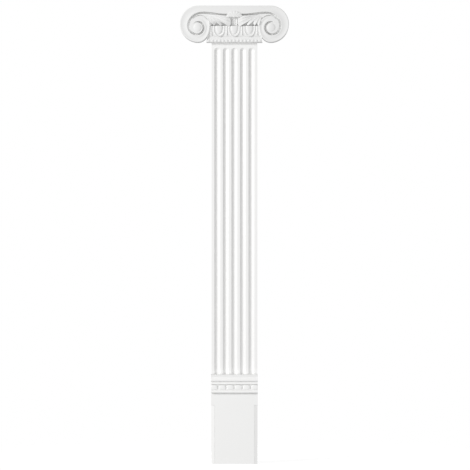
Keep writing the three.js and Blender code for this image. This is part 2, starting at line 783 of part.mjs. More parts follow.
// The base's outline seen from its end, as [depth, below the base's top]
function baseProfile() {
  const halfRound = (top, height, topGround, footGround, full, facets) => {
    const points = [];
    for (let i = 0; i <= facets; i += 1) {
      const angle = Math.PI * (i / facets);
      const ground = THREE.MathUtils.lerp(topGround, footGround, i / facets);
      const drop = height * ((1 - Math.cos(angle)) / 2) ** roundLean;
      points.push([ground + (full - ground) * Math.sin(angle), top + drop]);
    }
    return points;
  };
  const quirkDepth = friezeDepth + quirkProjection;
  const shadowLineDepth = friezeDepth - shadowLineSunk;
  const roundTop = crownFilletHeight;
  const quirkTop = roundTop + crownRoundHeight;
  const beadTop = quirkTop + quirkHeight;
  const tongueTop = beadTop + beadHeight;
  const bandTop = tongueTop + tongueRowHeight;
  const bandDepth = friezeDepth + tongueBandProjection;
  const bandQuirkTop = bandTop + tongueBandHeight;
  const footTop = bandQuirkTop + bandQuirkHeight;
  const lineTop = footTop + footRoundHeight;
  const friezeTop = lineTop + shadowLineHeight;
  const crownRoundDepth = friezeDepth + crownRoundProjection;
  const beadDepth = friezeDepth + beadProjection;
  const footRoundDepth = friezeDepth + footRoundProjection;
  const filletFoot = crownDepth - crownFilletLean;
  const crownRound = halfRound(roundTop, crownRoundHeight, filletFoot, quirkDepth + 1, crownRoundDepth, 8);
  const bead = halfRound(beadTop, beadHeight, quirkDepth + 1, tongueGroundDepth + 2, beadDepth, 6);
  const footRound = halfRound(footTop, footRoundHeight, quirkDepth + 1, quirkDepth, footRoundDepth, 6);
  return {
    tongueTop: tongueTop + tongueDrop,
    dieTop: friezeTop + friezeHeight,
    outline: [
      [0, 0],
      [crownDepth, 0],
      [filletFoot, roundTop],
      ...crownRound.slice(1),
      [quirkDepth, quirkTop + 1],
      [quirkDepth, beadTop - 1],
      ...bead,
      [tongueGroundDepth, tongueTop + 1],
      [tongueGroundDepth, bandTop],
      [bandDepth, bandTop],
      [bandDepth, bandQuirkTop],
      [quirkDepth, bandQuirkTop + 0.5],
      [quirkDepth, footTop],
      ...footRound.slice(1),
      [shadowLineDepth, lineTop + 0.5],
      [shadowLineDepth, friezeTop],
      [friezeDepth, friezeTop],
      [friezeDepth, baseHeight],
      [0, baseHeight],
    ],
  };
}

// A tongue of the row: its top is arched, fuller than a plain ball, and its foot runs straight down into the
// band
function tongueAt(x, top) {
  const fuller = (value) => Math.sign(value) * Math.abs(value) ** 0.8;
  const middle = new THREE.Vector3(x, -tongueGroundDepth, baseTop - top - tongueArch);
  const halfWidth = (tonguePitch - tongueGap) / 2;
  const straight = (tongueRowHeight - tongueDrop - tongueArch + bed) / tongueArch;
  return ellipsoid(middle, halfWidth, tongueRelief, tongueArch, 14, 10, (point) => {
    const around = point.y < 0 ? Math.max(Math.hypot(point.x, point.z), 1e-3) : 1;
    const low = point.y < 0 ? -straight : fuller(point.y);
    return new THREE.Vector3(fuller(point.x / around), low, point.z / around);
  });
}

// Takes the die's arris off along one side: a wedge in plan that ends in a quarter round under the frieze
function stripCut(side, dieZ, footZ) {
  const half = baseWidth / 2;
  const inner = side * (half - stripWidth);
  const outer = side * (half + bed);
  const at = (z, full) => [
    new THREE.Vector3(inner, -friezeDepth + stripStep * full, z),
    new THREE.Vector3(outer, -friezeDepth + stripSunk * full, z),
    new THREE.Vector3(outer, -friezeDepth - bed, z),
    new THREE.Vector3(inner, -friezeDepth - bed, z),
  ];
  const sections = [at(footZ - bed, 1)];
  const steps = 3;
  for (let i = steps; i >= 0; i -= 1) {
    const angle = (Math.PI / 2) * (i / steps);
    sections.push(at(dieZ - stripStop * (1 - Math.cos(angle)), 0.02 + 0.98 * Math.sin(angle)));
  }
  return loft(sections);
}

function baseSolid() {
  const { tongueTop, dieTop, outline } = baseProfile();
  const half = baseWidth / 2;
  const flat = outline.map(([depth, below]) => new THREE.Vector2(depth, below));
  const faces = fillOf(flat);
  const sections = [-half, half].map((x) => (
    outline.map(([depth, below]) => new THREE.Vector3(x, -depth, baseTop - below))
  ));
  const tongues = [];
  for (let i = 0; i < tongueCount; i += 1) {
    tongues.push(tongueAt((i - (tongueCount - 1) / 2) * tonguePitch, tongueTop));
  }
  const deep = crownDepth + tongueRelief;
  const between = boxBetween(
    new THREE.Vector3(-half, -deep, baseTop - baseHeight),
    new THREE.Vector3(half, -friezeDepth / 2, baseTop),
  );
  let body = joined([loft(sections, faces), joined(tongues).intersect(between)]);
  const dieZ = baseTop - dieTop;
  const footZ = baseTop - baseHeight;
  for (const side of [-1, 1]) {
    const outer = side * (half + bed);
    const edge = side * (half - stripInset);
    const flank = boxBetween(
      new THREE.Vector3(Math.min(edge, outer), -friezeDepth - bed, footZ - bed),
      new THREE.Vector3(Math.max(edge, outer), bed, dieZ),
    );
    body = body.subtract(stripCut(side, dieZ, footZ)).subtract(flank);
  }
  return body;
}

// A named mesh with its own material
function meshOf(name, solid, colour, roughness) {
  const { vertProperties, triVerts, numProp } = solid.getMesh();
  const geometry = new THREE.BufferGeometry();
  const positions = new Float32Array((vertProperties.length / numProp) * 3);
  for (let i = 0; i < vertProperties.length / numProp; i += 1) {
    positions.set(vertProperties.subarray(i * numProp, i * numProp + 3), i * 3);
  }
  geometry.setAttribute('position', new THREE.BufferAttribute(positions, 3));
  geometry.setIndex(Array.from(triVerts));
  geometry.computeVertexNormals();
  const material = new THREE.MeshStandardMaterial({ color: colour, roughness, metalness: 0 });
  const mesh = new THREE.Mesh(geometry, material);
  mesh.name = name;
  return mesh;
}

const pilaster = new THREE.Group();
pilaster.add(meshOf('base', baseSolid(), 0xf2f2f0, 0.6));
pilaster.add(meshOf('shaft', shaftSolid(), 0xf4f4f2, 0.6));
pilaster.add(meshOf('capital', capitalSolid(), 0xefefed, 0.6));

export default pilaster;
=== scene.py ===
"""A tall wall pilaster in three white castings: a pedestal base, a fluted shaft and a scrolled
capital.

Sizes are in millimetres, as the maker's drawing gives them, and each mesh is written in metres. +Z
is up, the flat backs lie on the wall plane y = 0, the faces look along -Y, and the origin is in the
middle of the shaft's back.
"""

import math

import bpy
import numpy as np
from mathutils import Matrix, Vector


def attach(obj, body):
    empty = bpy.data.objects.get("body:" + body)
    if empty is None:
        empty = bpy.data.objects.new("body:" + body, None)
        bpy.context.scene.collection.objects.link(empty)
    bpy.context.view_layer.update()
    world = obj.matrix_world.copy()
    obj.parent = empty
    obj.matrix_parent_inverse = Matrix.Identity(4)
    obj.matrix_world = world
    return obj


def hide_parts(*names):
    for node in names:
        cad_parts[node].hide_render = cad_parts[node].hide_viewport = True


MM = 0.001

# Joint between two castings
JOINT_GAP = 0.3

# Shaft
SHAFT_HEIGHT = 2000
SHAFT_WIDTH = 275
SHAFT_DEPTH = 35
FLUTE_COUNT = 5
FLUTE_WIDTH = 34
FLUTE_DEPTH = 11
FLUTE_TOP_MARGIN = 33
FLUTE_SOFT = 1.5  # how far its soft arrises run onto the flat
FLUTE_FULLNESS = 1.4  # power of its section
FLUTE_END_LEAD = 4  # how far under its rounded end the fine rows begin

# Base
BASE_HEIGHT = 540
BASE_OVERHANG = 3
FRIEZE_PROJECTION = 15
CROWN_PROJECTION = 13
CROWN_FILLET_HEIGHT = 17
CROWN_FILLET_LEAN = 3.5  # how far it leans back at its foot
CROWN_ROUND_HEIGHT = 25
CROWN_ROUND_PROJECTION = 18
QUIRK_HEIGHT = 4.5
QUIRK_PROJECTION = 9
QUIRK_STEP = 1  # how far out of a quirk the round beside it ends
BEAD_HEIGHT = 13
BEAD_PROJECTION = 13
TONGUE_ROW_HEIGHT = 28
TONGUE_GROUND_PROJECTION = 2
TONGUE_COUNT = 6
TONGUE_TRIM = 7
TONGUE_RELIEF = 9
TONGUE_ARCH = 14
TONGUE_DROP = 2
TONGUE_GAP = 1.2
TONGUE_SQUARENESS = 2.2  # power of its arched top
TONGUE_TIP_SHARE = 0.3  # its least width, as a share
TONGUE_ROOT = 3  # how far it reaches into its ground
TONGUE_HAIR = 0.02  # keeps its edge off its ground's own plane
TONGUE_BAND_HEIGHT = 8
TONGUE_BAND_PROJECTION = 8
BAND_QUIRK_HEIGHT = 3
FOOT_ROUND_HEIGHT = 11.5
FOOT_ROUND_PROJECTION = 12
ROUND_LEAN = 0.45  # under one, a round is fullest below its middle
SHADOW_LINE_HEIGHT = 3.5
SHADOW_LINE_SUNK = 8
FRIEZE_HEIGHT = 71
STRIP_WIDTH = 21
STRIP_STEP = 0.6
STRIP_SUNK = 4.5
STRIP_STOP = 3
STRIP_STOP_START = 0.02  # its depth at the stop's top, as a share
STRIP_LINE_WIDTH = 1.8
STRIP_LINE_SUNK = 2.2
STRIP_LINE_FLOOR = 0.6  # share of its width that is full depth
STRIP_INSET = 1.4
SOFT_EDGE = 0.9  # rounding of the shaft's and the base's outer arrises

# Capital's neck and its row of pearls
CAPITAL_HEIGHT = 220
NECK_PROJECTION = 28
NECK_LEAD = 18
NECK_FOOT_LEAD = 3
ASTRAGAL_RISE = 10
ASTRAGAL_RADIUS = 6
ASTRAGAL_LEAD = 2
PEARL_COUNT = 15
PEARL_RADIUS = 8
PEARL_GAP = 0.4

# Egg moulding
EGG_MOULDING_RISE = 37
EGG_MOULDING_HEIGHT = 62
EGG_MOULDING_TOP_LEAD = 5
EGG_MOULDING_FOOT_LEAD = 2
EGG_MOULDING_SWELL = 2
EGG_COUNT = 3
EGG_MARGIN = 9
EGG_HALF_WIDTH = 21.5
EGG_SHOULDER = 12
EGG_FOOT = 12
EGG_RELIEF = 8
EGG_NARROWING = 0.12  # towards its foot, as a share
SHELL_GAP = 9.5
SHELL_THICKNESS = 8
SHELL_RELIEF = 6
SHELL_BEND = 1.35  # its curved foot's height in half widths
DART_HALF_WIDTH = 8.5
DART_FOOT = 5
DART_RELIEF = 7
DART_TIP = 0.04  # its least half width, as a share
CARVING_ROOT = 8  # how far shells and darts reach into the moulding
CARVING_SPARE = 4  # how far they run past its top, to be cut off there

# Scrolls
SCROLL_OVERHANG = 190.5
SCROLL_LEAD = 12
SCROLL_EDGE_ROUND = 4
SCROLL_EDGE_SHARE = 0.8  # its width as a share of its depth
BOLSTER_WAIST = 9
WAIST_IN = 0.08, 0.4  # shares of the depth between which it goes in
WAIST_OUT = 0.56, 0.84
WAIST_END = 0.86
FIELD_SUNK = 9
FIELD_TAIL_END = math.radians(58)
FIELD_TAIL_TURN = 0.7  # its run along the second turn, in quarter turns
SCROLL_INNER_REACH = 71
EYE_RADIUS = 25
EYE_RISE = 4
GROOVE_WIDTH = 11
GROOVE_FLOWER_WIDTH = 15
GROOVE_SUNK = 24
GROOVE_LIP = 0.9
GROOVE_NARROWING = 0.15  # share of its run over which it narrows away from the flower
GROOVE_OPEN_SPAN = math.radians(50)  # on the scroll's outer side, where it opens out
GROOVE_OPEN_WIDTH = 1.3  # its share of the full width there
GROOVE_OPEN_DEPTH = 0.42
GROOVE_END_WIDTH = 0.2  # its share of the full width beside the eye
GROOVE_END_DEPTH = 0.04
GROOVE_END_LIP = 0.35
FADE_START = 0.8  # share of the run at which the groove and the hollow begin to fade
TURN_QUIRK_WIDTH = 7
TURN_QUIRK_SUNK = 16
TURN_QUIRK_SPAN = 3.3, 4.6  # in quarter turns
TURN_QUIRK_END = 0.08  # its width and depth at both ends, as a share
BAND_FILLET = 7
BAND_HOLLOW = 2
BAND_HOLLOW_END = 4.3  # in quarter turns
BAND_HOLLOW_NARROWING = 0.85  # by its end, as a share
EYE_DROP = 0.595
EYE_SHIFT = 0.018
INNER_SIDE_DROP = 0.573
SECOND_TURN_DROP = 0.282
SECOND_TURN_SHIFT = 0.032
SECOND_TURN_END = 0.227
GROOVE_DIP_DROP = 0.255
GROOVE_DIP_MARGIN = 4  # how far past the flower it begins to rise
SPIRAL_CORE = 0.15
SPIRAL_REACH = 0.227
SPIRAL_DECAY = math.radians(100)
SPIRAL_START = math.radians(-22)
SPIRAL_END = math.radians(408)

# Leaves, stem and flower
LEAF_ROOT_SHIFT = 19
LEAF_ROOT_BELOW = 64
LEAF_ROOT_SPREAD = 22
LEAF_ROOT_SUNK = 9.5
LEAF_LEAD = 5
LEAF_CURL = 4
LEAF_CURL_START = 0.75  # share of a vein's run at which it begins
LEAF_VALLEY = 3.5
LEAF_EDGE_ROUND = 2.5
LEAF_EDGE_SHARE = 0.06  # share of a vein's run that is rounded over
LEAF_FULL = 0.8  # share of a vein's run at which it is fullest
LEAF_FINE_VEIN = 0.5
LEAF_VEIN_BEND = 1.15  # power by which a vein's drop lags behind its reach
LEAF_CROWDING = 1.3  # power by which its rows crowd towards its edge
SLOT_SUNK = 26
SLOT_RISE = 30
SLOT_TOP_END = 0.7  # share of the way from stem to scroll
SLOT_SCROLL_TURN = 3.25  # in quarter turns
STEM_HALF_WIDTH = 20
STEM_SUNK = 18
STEM_REED_COUNT = 3
REED_GAP = 1.6
REED_LEAD = 7
REED_SUNK = 2
REED_SPARE = 4
FLOWER_HALF_WIDTH = 50
FLOWER_TOP = 31
FLOWER_HEIGHT = 37
FLOWER_PETALS = 7
FLOWER_LEAD = 5
FLOWER_CREASE = 1.2
FLOWER_SCALLOP = 0.06  # between two petals, as a share
BOSS_RISE = 2
BOSS_LEAD = 2
BOSS_HALF_WIDTH = 9
BOSS_HALF_HEIGHT = 7

# Places worked out from them; "below" is measured down from the top of the capital or the base
SHAFT_TOP = SHAFT_HEIGHT / 2
CAPITAL_TOP = SHAFT_TOP + JOINT_GAP + CAPITAL_HEIGHT
BASE_TOP = -SHAFT_TOP - JOINT_GAP
BASE_WIDTH = SHAFT_WIDTH + 2 * BASE_OVERHANG
FRIEZE_DEPTH = SHAFT_DEPTH + FRIEZE_PROJECTION
CROWN_DEPTH = FRIEZE_DEPTH + CROWN_PROJECTION
TONGUE_GROUND_DEPTH = FRIEZE_DEPTH + TONGUE_GROUND_PROJECTION
TONGUE_PITCH = (BASE_WIDTH + 2 * TONGUE_TRIM) / TONGUE_COUNT
NECK_HALF_WIDTH = SHAFT_WIDTH / 2 + NECK_PROJECTION
NECK_DEPTH = SHAFT_DEPTH + NECK_LEAD
ASTRAGAL_BELOW = CAPITAL_HEIGHT - ASTRAGAL_RISE
ECHINUS_BOTTOM = CAPITAL_HEIGHT - EGG_MOULDING_RISE
ECHINUS_TOP = ECHINUS_BOTTOM - EGG_MOULDING_HEIGHT
ECHINUS_TOP_DEPTH = NECK_DEPTH + EGG_MOULDING_TOP_LEAD
ECHINUS_FOOT_DEPTH = NECK_DEPTH + EGG_MOULDING_FOOT_LEAD
SCROLL_RADIUS = CAPITAL_HEIGHT / 2
SCROLL_X = SHAFT_WIDTH / 2 + SCROLL_OVERHANG - SCROLL_RADIUS
SCROLL_INNER_X = SCROLL_X - SCROLL_INNER_REACH
SCROLL_FACE_DEPTH = NECK_DEPTH + SCROLL_LEAD
EGG_PITCH = 2 * (SCROLL_INNER_X - EGG_MARGIN) / EGG_COUNT
EYE_X = SCROLL_X + EYE_SHIFT * CAPITAL_HEIGHT
EYE_BELOW = EYE_DROP * CAPITAL_HEIGHT
GROOVE_DIP_BELOW = GROOVE_DIP_DROP * CAPITAL_HEIGHT
GROOVE_DIP_X = FLOWER_HALF_WIDTH + GROOVE_DIP_MARGIN
FLOWER_FOOT = FLOWER_TOP + FLOWER_HEIGHT

# How far one form is let into another, or a tool runs past what it cuts
BED = 1
# Least half width of a cut that fades away
HAIR = 0.05
# Faces that meet at less than this are shaded as one curve
SHARP_ANGLE = math.radians(38)

# Studio, in metres: the middle of the part's height, its faces' depth and the camera's step aside
MIDDLE_HEIGHT = -0.16
FACES = 0.05
CAMERA_SHIFT = 0.0036


# ---- Whole-array helpers


def mix(low, high, share):
    """low + (high - low) * share."""
    return low + (high - low) * share


def soft_step(low, high, value):
    """Zero below low, one above high, and 3t^2 - 2t^3 between."""
    t = np.clip((np.asarray(value, float) - low) / (high - low), 0, 1)
    return t * t * (3 - 2 * t)


def smooth_through(points, count):
    """A curve through its points: on each span the cubic whose slope at a point is half the step
    between its neighbours."""
    points = np.asarray(points, float)
    padded = np.vstack([2 * points[0] - points[1], points, 2 * points[-1] - points[-2]])
    t = np.linspace(0, len(points) - 1, count)
    i = np.minimum(t.astype(int), len(points) - 2)
    f = (t - i)[:, None]
    a, b, c, d = (padded[i + k] for k in range(4))
    return b + 0.5 * f * (c - a + f * (2 * a - 5 * b + 4 * c - d + f * (3 * (b - c) + d - a)))


def on_capital(x, below, depth):
    """Front-view places on the capital as points (x, -depth, top of the capital - below)."""
    x, below, depth = np.broadcast_arrays(x, below, depth)
    return np.stack([x, -depth, CAPITAL_TOP - below], axis=-1).astype(float)


def row_of(count, pitch):
    """Evenly spaced places in a row about zero: (n - (count - 1) / 2) * pitch."""
    return (np.arange(count) - (count - 1) / 2) * pitch


def mirrored(line):
    """Each x changes sign."""
    return np.asarray(line, float) * np.array([-1] + [1] * (np.shape(line)[-1] - 1))


def net(rows, columns, closed=False):
    """Faces of a grid of points: each joins a point, its neighbour in the row and the same two of
    the next row; a closed row joins its last point to its first."""
    r = np.arange(rows - 1)[:, None]
    c = np.arange(columns if closed else columns - 1)[None, :]
    after = (c + 1) % columns
    this, other = r * columns, (r + 1) * columns
    corners = [this + c, this + after, other + after, other + c]
    return np.stack(np.broadcast_arrays(*corners), axis=-1).reshape(-1, 4)


def signed_volume(points, faces):
    """A sixth of the sum of a . (b x c) over the triangles of each face, counted from its first
    corner."""
    total = 0.0
    for corners in faces:
        a = points[corners[:, 0]][:, None]
        b = points[corners[:, 1:-1]]
        c = points[corners[:, 2:]]
        total += np.sum(a * np.cross(b, c))
    return total / 6


def placed(name, data):
    """A new object in the scene."""
    thing = bpy.data.objects.new(name, data)
    bpy.context.scene.collection.objects.link(thing)
    return thing


def closed_form(points, *faces):
    """An object from closed faces, in metres, turned so that they look outwards."""
    points = np.asarray(points, float).reshape(-1, 3)
    faces = [np.atleast_2d(corners) for corners in faces]
    if signed_volume(points, faces) < 0:
        faces = [corners[:, ::-1] for corners in faces]
    mesh = bpy.data.meshes.new("form")
    mesh.from_pydata(points * MM, [], [corner for corners in faces for corner in corners.tolist()])
    return placed("form", mesh)


def carried(sections):
    """A closed section carried along a path: sections is an array (places on the path, points of
    the section, 3)."""
    sections = np.asarray(sections, float)
    count, around = sections.shape[:2]
    end = np.arange(around)
    sides = net(count, around, closed=True)
    return closed_form(sections, sides, end[::-1], end + (count - 1) * around)


def relief(front, back_depth):
    """A carved patch: its front is a grid of points, its back the same grid moved to one depth, and
    walls join them."""
    rows, columns = front.shape[:2]
    back = front.copy()
    back[..., 1] = -back_depth
    far = rows * columns
    sheet = net(rows, columns)
    top = np.arange(columns)
    left = np.arange(rows) * columns
    walls = []
    foot, right = top + far - columns, left + columns - 1
    for line, turned in ((top, True), (foot, False), (left, False), (right, True)):
        a, b = line[:-1], line[1:]
        wall = np.stack([a, b, b + far, a + far], axis=-1)
        walls.append(wall if turned else wall[:, ::-1])
    points = np.concatenate([front.reshape(-1, 3), back.reshape(-1, 3)])
    return closed_form(points, sheet[:, ::-1], sheet + far, *walls)


def plate(outline, from_depth, to_depth):
    """An outline in the capital's front view carried straight from one depth to another."""
    x, below = np.asarray(outline, float).T
    return carried([on_capital(x, below, depth) for depth in (from_depth, to_depth)])


def box(low, high):
    """A box between two corners."""
    low, high = np.minimum(low, high), np.maximum(low, high)
    x = np.array([low[0], high[0], high[0], low[0]])
    y = np.array([low[1], low[1], high[1], high[1]])
    return carried([np.stack([x, y, np.full(4, z)], axis=-1) for z in (low[2], high[2])])


def ball(middle, half_sizes, around, rings, shape=None):
    """(cos b cos a, cos b sin a, sin b) over turn a and height b, moved by shape, times the half
    sizes; each pole is one point."""
    b = np.linspace(-math.pi / 2, math.pi / 2, rings + 1)[1:-1, None]
    a = np.arange(around)[None, :] * (2 * math.pi / around)
    unit = np.broadcast_arrays(np.cos(b) * np.cos(a), np.cos(b) * np.sin(a), np.sin(b))
    unit = np.stack(unit, axis=-1).reshape(-1, 3)
    unit = np.concatenate([unit, [[0, 0, -1], [0, 0, 1]]])
    if shape:
        unit = shape(unit)
    points = np.asarray(middle, float) + unit * np.asarray(half_sizes, float)
    first = np.arange(around)
    after = (first + 1) % around
    last = (rings - 2) * around
    low_pole = np.stack([after, first, np.full(around, len(points) - 2)], axis=-1)
    high_pole = np.stack([first + last, after + last, np.full(around, len(points) - 1)], axis=-1)
    return closed_form(points, net(rings - 1, around, closed=True), low_pole, high_pole)


def together(first, others, operation="UNION"):
    """One closed form from several: united, cut or kept where they meet."""
    for other in others:
        step = first.modifiers.new(operation.lower(), "BOOLEAN")
        step.operation = operation
        step.solver = "MANIFOLD"
        step.object = other
    graph = bpy.context.evaluated_depsgraph_get()
    first.data = bpy.data.meshes.new_from_object(first.evaluated_get(graph), depsgraph=graph)
    first.modifiers.clear()
    for other in others:
        bpy.data.objects.remove(other)
    return first


def united(forms):
    """All the forms as one."""
    return together(forms[0], forms[1:])


def cut(form, tools):
    """The form without what its tools take away."""
    return together(form, tools, "DIFFERENCE")


# ---- Shaft


def shaft_casting():
    """One surface over (x, z): the plate's depth, less for each flute depth * (1 - q^2)^fullness,
    where q is the distance from the flute's middle line, or from its upper end above that, in half
    widths; a quarter round softens the plate's outer arrises."""
    half, reach = SHAFT_WIDTH / 2, FLUTE_WIDTH / 2 + FLUTE_SOFT
    pitch = FLUTE_WIDTH + (SHAFT_WIDTH - FLUTE_COUNT * FLUTE_WIDTH) / (FLUTE_COUNT + 1)
    middles = row_of(FLUTE_COUNT, pitch)
    soft = SOFT_EDGE * np.sin(np.linspace(0, math.pi / 2, 5))
    flutes = (middles[:, None] + np.linspace(-1, 1, 41) * reach).ravel()
    x = np.concatenate([SOFT_EDGE - half - soft[::-1], flutes, half - SOFT_EDGE + soft])
    top = SHAFT_TOP - FLUTE_TOP_MARGIN - FLUTE_WIDTH / 2
    rounded = np.linspace(top - FLUTE_END_LEAD, top + reach, 34)
    z = np.concatenate([[-SHAFT_TOP], rounded, SHAFT_TOP - SOFT_EDGE + soft])
    x, z = x[None, :], z[:, None]
    sunk = np.zeros((z.size, x.size))
    for middle in middles:
        q = np.hypot(x - middle, np.maximum(z - top, 0)) / reach
        sunk = sunk + FLUTE_DEPTH * np.clip(1 - q ** 2, 0, 1) ** FLUTE_FULLNESS
    past = np.maximum(np.abs(x) - half, z - SHAFT_TOP) + SOFT_EDGE
    round_over = SOFT_EDGE - np.sqrt(np.clip(SOFT_EDGE ** 2 - np.maximum(past, 0) ** 2, 0, None))
    points = np.broadcast_arrays(x, -(SHAFT_DEPTH - sunk - round_over), z)
    return relief(np.stack(points, axis=-1), 0)


# ---- Base


def base_outline():
    """The mouldings seen from the end, as (depth, below the base's top), with the tops of the
    tongues and of the die."""

    def half_round(top, height, top_ground, foot_ground, full, steps):
        """ground + (full - ground) * sin(a), at height * ((1 - cos(a)) / 2)^lean under its top, so
        that it is fullest below its middle; the ground runs evenly from its top to its foot."""
        a = np.linspace(0, math.pi, steps)
        ground = mix(top_ground, foot_ground, a / math.pi)
        below = top + height * ((1 - np.cos(a)) / 2) ** ROUND_LEAN
        return np.column_stack([mix(ground, full, np.sin(a)), below])

    def soft_corner(depth, below, turn_from):
        """A quarter circle of the soft edge's radius, from the top face to the front or on to the
        underside."""
        a = np.linspace(0, math.pi / 2, 5) + turn_from
        depth = depth - SOFT_EDGE
        below = below + (SOFT_EDGE if turn_from == 0 else -SOFT_EDGE)
        return np.column_stack([depth + SOFT_EDGE * np.sin(a), below - SOFT_EDGE * np.cos(a)])

    quirk = FRIEZE_DEPTH + QUIRK_PROJECTION
    edge = quirk + QUIRK_STEP
    shadow_line = FRIEZE_DEPTH - SHADOW_LINE_SUNK
    quirk_top = CROWN_FILLET_HEIGHT + CROWN_ROUND_HEIGHT
    bead_top = quirk_top + QUIRK_HEIGHT
    tongue_top = bead_top + BEAD_HEIGHT
    band_top = tongue_top + TONGUE_ROW_HEIGHT
    band_quirk_top = band_top + TONGUE_BAND_HEIGHT
    foot_top = band_quirk_top + BAND_QUIRK_HEIGHT
    band = FRIEZE_DEPTH + TONGUE_BAND_PROJECTION
    line_top = foot_top + FOOT_ROUND_HEIGHT
    frieze_top = line_top + SHADOW_LINE_HEIGHT
    crown_foot = CROWN_DEPTH - CROWN_FILLET_LEAN
    crown_round = FRIEZE_DEPTH + CROWN_ROUND_PROJECTION
    bead = FRIEZE_DEPTH + BEAD_PROJECTION
    bead_foot = TONGUE_GROUND_DEPTH + 2 * QUIRK_STEP
    foot_round = FRIEZE_DEPTH + FOOT_ROUND_PROJECTION
    down = math.pi / 2
    outline = np.concatenate([
        [[0, 0]],
        soft_corner(CROWN_DEPTH, 0, 0),
        half_round(CROWN_FILLET_HEIGHT, CROWN_ROUND_HEIGHT, crown_foot, edge, crown_round, 27),
        [[quirk, quirk_top + QUIRK_STEP], [quirk, bead_top - QUIRK_STEP]],
        half_round(bead_top, BEAD_HEIGHT, edge, bead_foot, bead, 21),
        [[TONGUE_GROUND_DEPTH, tongue_top + QUIRK_STEP], [TONGUE_GROUND_DEPTH, band_top]],
        soft_corner(band, band_top, 0),
        soft_corner(band, band_quirk_top, down),
        [[quirk, band_quirk_top + QUIRK_STEP / 2], [quirk, foot_top]],
        half_round(foot_top, FOOT_ROUND_HEIGHT, edge, quirk, foot_round, 21),
        [[shadow_line, line_top + QUIRK_STEP / 2], [shadow_line, frieze_top]],
        soft_corner(FRIEZE_DEPTH, frieze_top, 0),
        [[FRIEZE_DEPTH, BASE_HEIGHT], [0, BASE_HEIGHT]],
    ])
    return outline, tongue_top, frieze_top + FRIEZE_HEIGHT


def tongue(x, top):
    """A carved patch over (u, v): its half width is w(v) = (1 - s^n)^(1 / n) in the arched top,
    where s falls from one to zero and n is its squareness, and one below it, but never under the
    tip's share; its front rises as relief * (1 - |u|^3)^(1 / 3) * w^0.5."""
    u = np.sin(np.linspace(-1, 1, 41) * math.pi / 2)[None, :]
    straight = (TONGUE_ROW_HEIGHT - TONGUE_DROP + BED) / TONGUE_ARCH
    arch = 1 - np.cos(np.linspace(0, math.pi / 2, 20))
    drop = np.concatenate([arch, np.linspace(1, straight, 5)])[:, None]
    s = np.clip(1 - drop, 0, 1)
    w = np.clip(1 - s ** TONGUE_SQUARENESS, 0, 1) ** (1 / TONGUE_SQUARENESS)
    half = (TONGUE_PITCH - TONGUE_GAP) / 2
    rise = TONGUE_RELIEF * np.cbrt(np.clip(1 - np.abs(u) ** 3, 0, 1)) * np.sqrt(w)
    x = x + u * half * np.maximum(w, TONGUE_TIP_SHARE)
    y = -TONGUE_GROUND_DEPTH - rise - TONGUE_HAIR
    points = np.broadcast_arrays(x, y, BASE_TOP - top - TONGUE_ARCH * drop)
    return relief(np.stack(points, axis=-1), TONGUE_GROUND_DEPTH - TONGUE_ROOT)


def strip_cut(side, die, foot):
    """Takes the die's arris off: in plan a fine line, and then a wedge from a small step to its
    full depth at the outer side, which ends under the frieze in a short quarter-round stop."""
    inner, over = BASE_WIDTH / 2 - STRIP_WIDTH, STRIP_WIDTH + BED
    a = np.linspace(0, math.pi / 2, 7)
    z = np.concatenate([[foot - BED], die - STRIP_STOP * (1 - np.cos(a))[::-1]])[:, None]
    full = np.concatenate([[1], mix(STRIP_STOP_START, 1, np.sin(a)[::-1])])[:, None]
    line_floor = STRIP_LINE_WIDTH * STRIP_LINE_FLOOR
    x = side * (inner + np.array([[0, line_floor, STRIP_LINE_WIDTH, over, over, 0]]))
    sunk = full * np.array([STRIP_LINE_SUNK, STRIP_LINE_SUNK, STRIP_STEP, STRIP_SUNK, 0, 0])
    y = sunk - np.array([0, 0, 0, 0, BED, BED]) - FRIEZE_DEPTH
    return carried(np.stack(np.broadcast_arrays(x, y, z), axis=-1))


def base_casting():
    """The outline carried across the base's width, with the row of tongues, less the die's
    arrises."""
    outline, tongue_top, die_top = base_outline()
    half = BASE_WIDTH / 2
    y, z = -outline[:, 0], BASE_TOP - outline[:, 1]
    ends = [np.column_stack([np.full(len(outline), x), y, z]) for x in (-half, half)]
    die, foot = BASE_TOP - die_top, BASE_TOP - BASE_HEIGHT
    front = -CROWN_DEPTH - TONGUE_RELIEF
    between = box((-half, front, foot), (half, -FRIEZE_DEPTH / 2, BASE_TOP))
    tongues = [tongue(x, tongue_top + TONGUE_DROP) for x in row_of(TONGUE_COUNT, TONGUE_PITCH)]
    row = together(united(tongues), [between], "INTERSECT")
    body = united([carried(ends), row])
    tools = []
    for side in (-1, 1):
        outer, edge = side * (half + BED), side * (half - STRIP_INSET)
        tools.append(strip_cut(side, die, foot))
        tools.append(box((edge, -FRIEZE_DEPTH - BED, foot - BED), (outer, BED, die)))
    return cut(body, tools)


# ---- Capital


SECOND_TURN = np.array([
    SCROLL_X - SECOND_TURN_SHIFT * CAPITAL_HEIGHT,
    SECOND_TURN_DROP * CAPITAL_HEIGHT,
])
SCROLL_EXTREMES = np.array([
    [SCROLL_X, 0],
    [SCROLL_X + SCROLL_RADIUS, SCROLL_RADIUS],
    [SCROLL_X, CAPITAL_HEIGHT],
    [SCROLL_INNER_X, INNER_SIDE_DROP * CAPITAL_HEIGHT],
    SECOND_TURN,
    SECOND_TURN + SECOND_TURN_END * CAPITAL_HEIGHT,
])


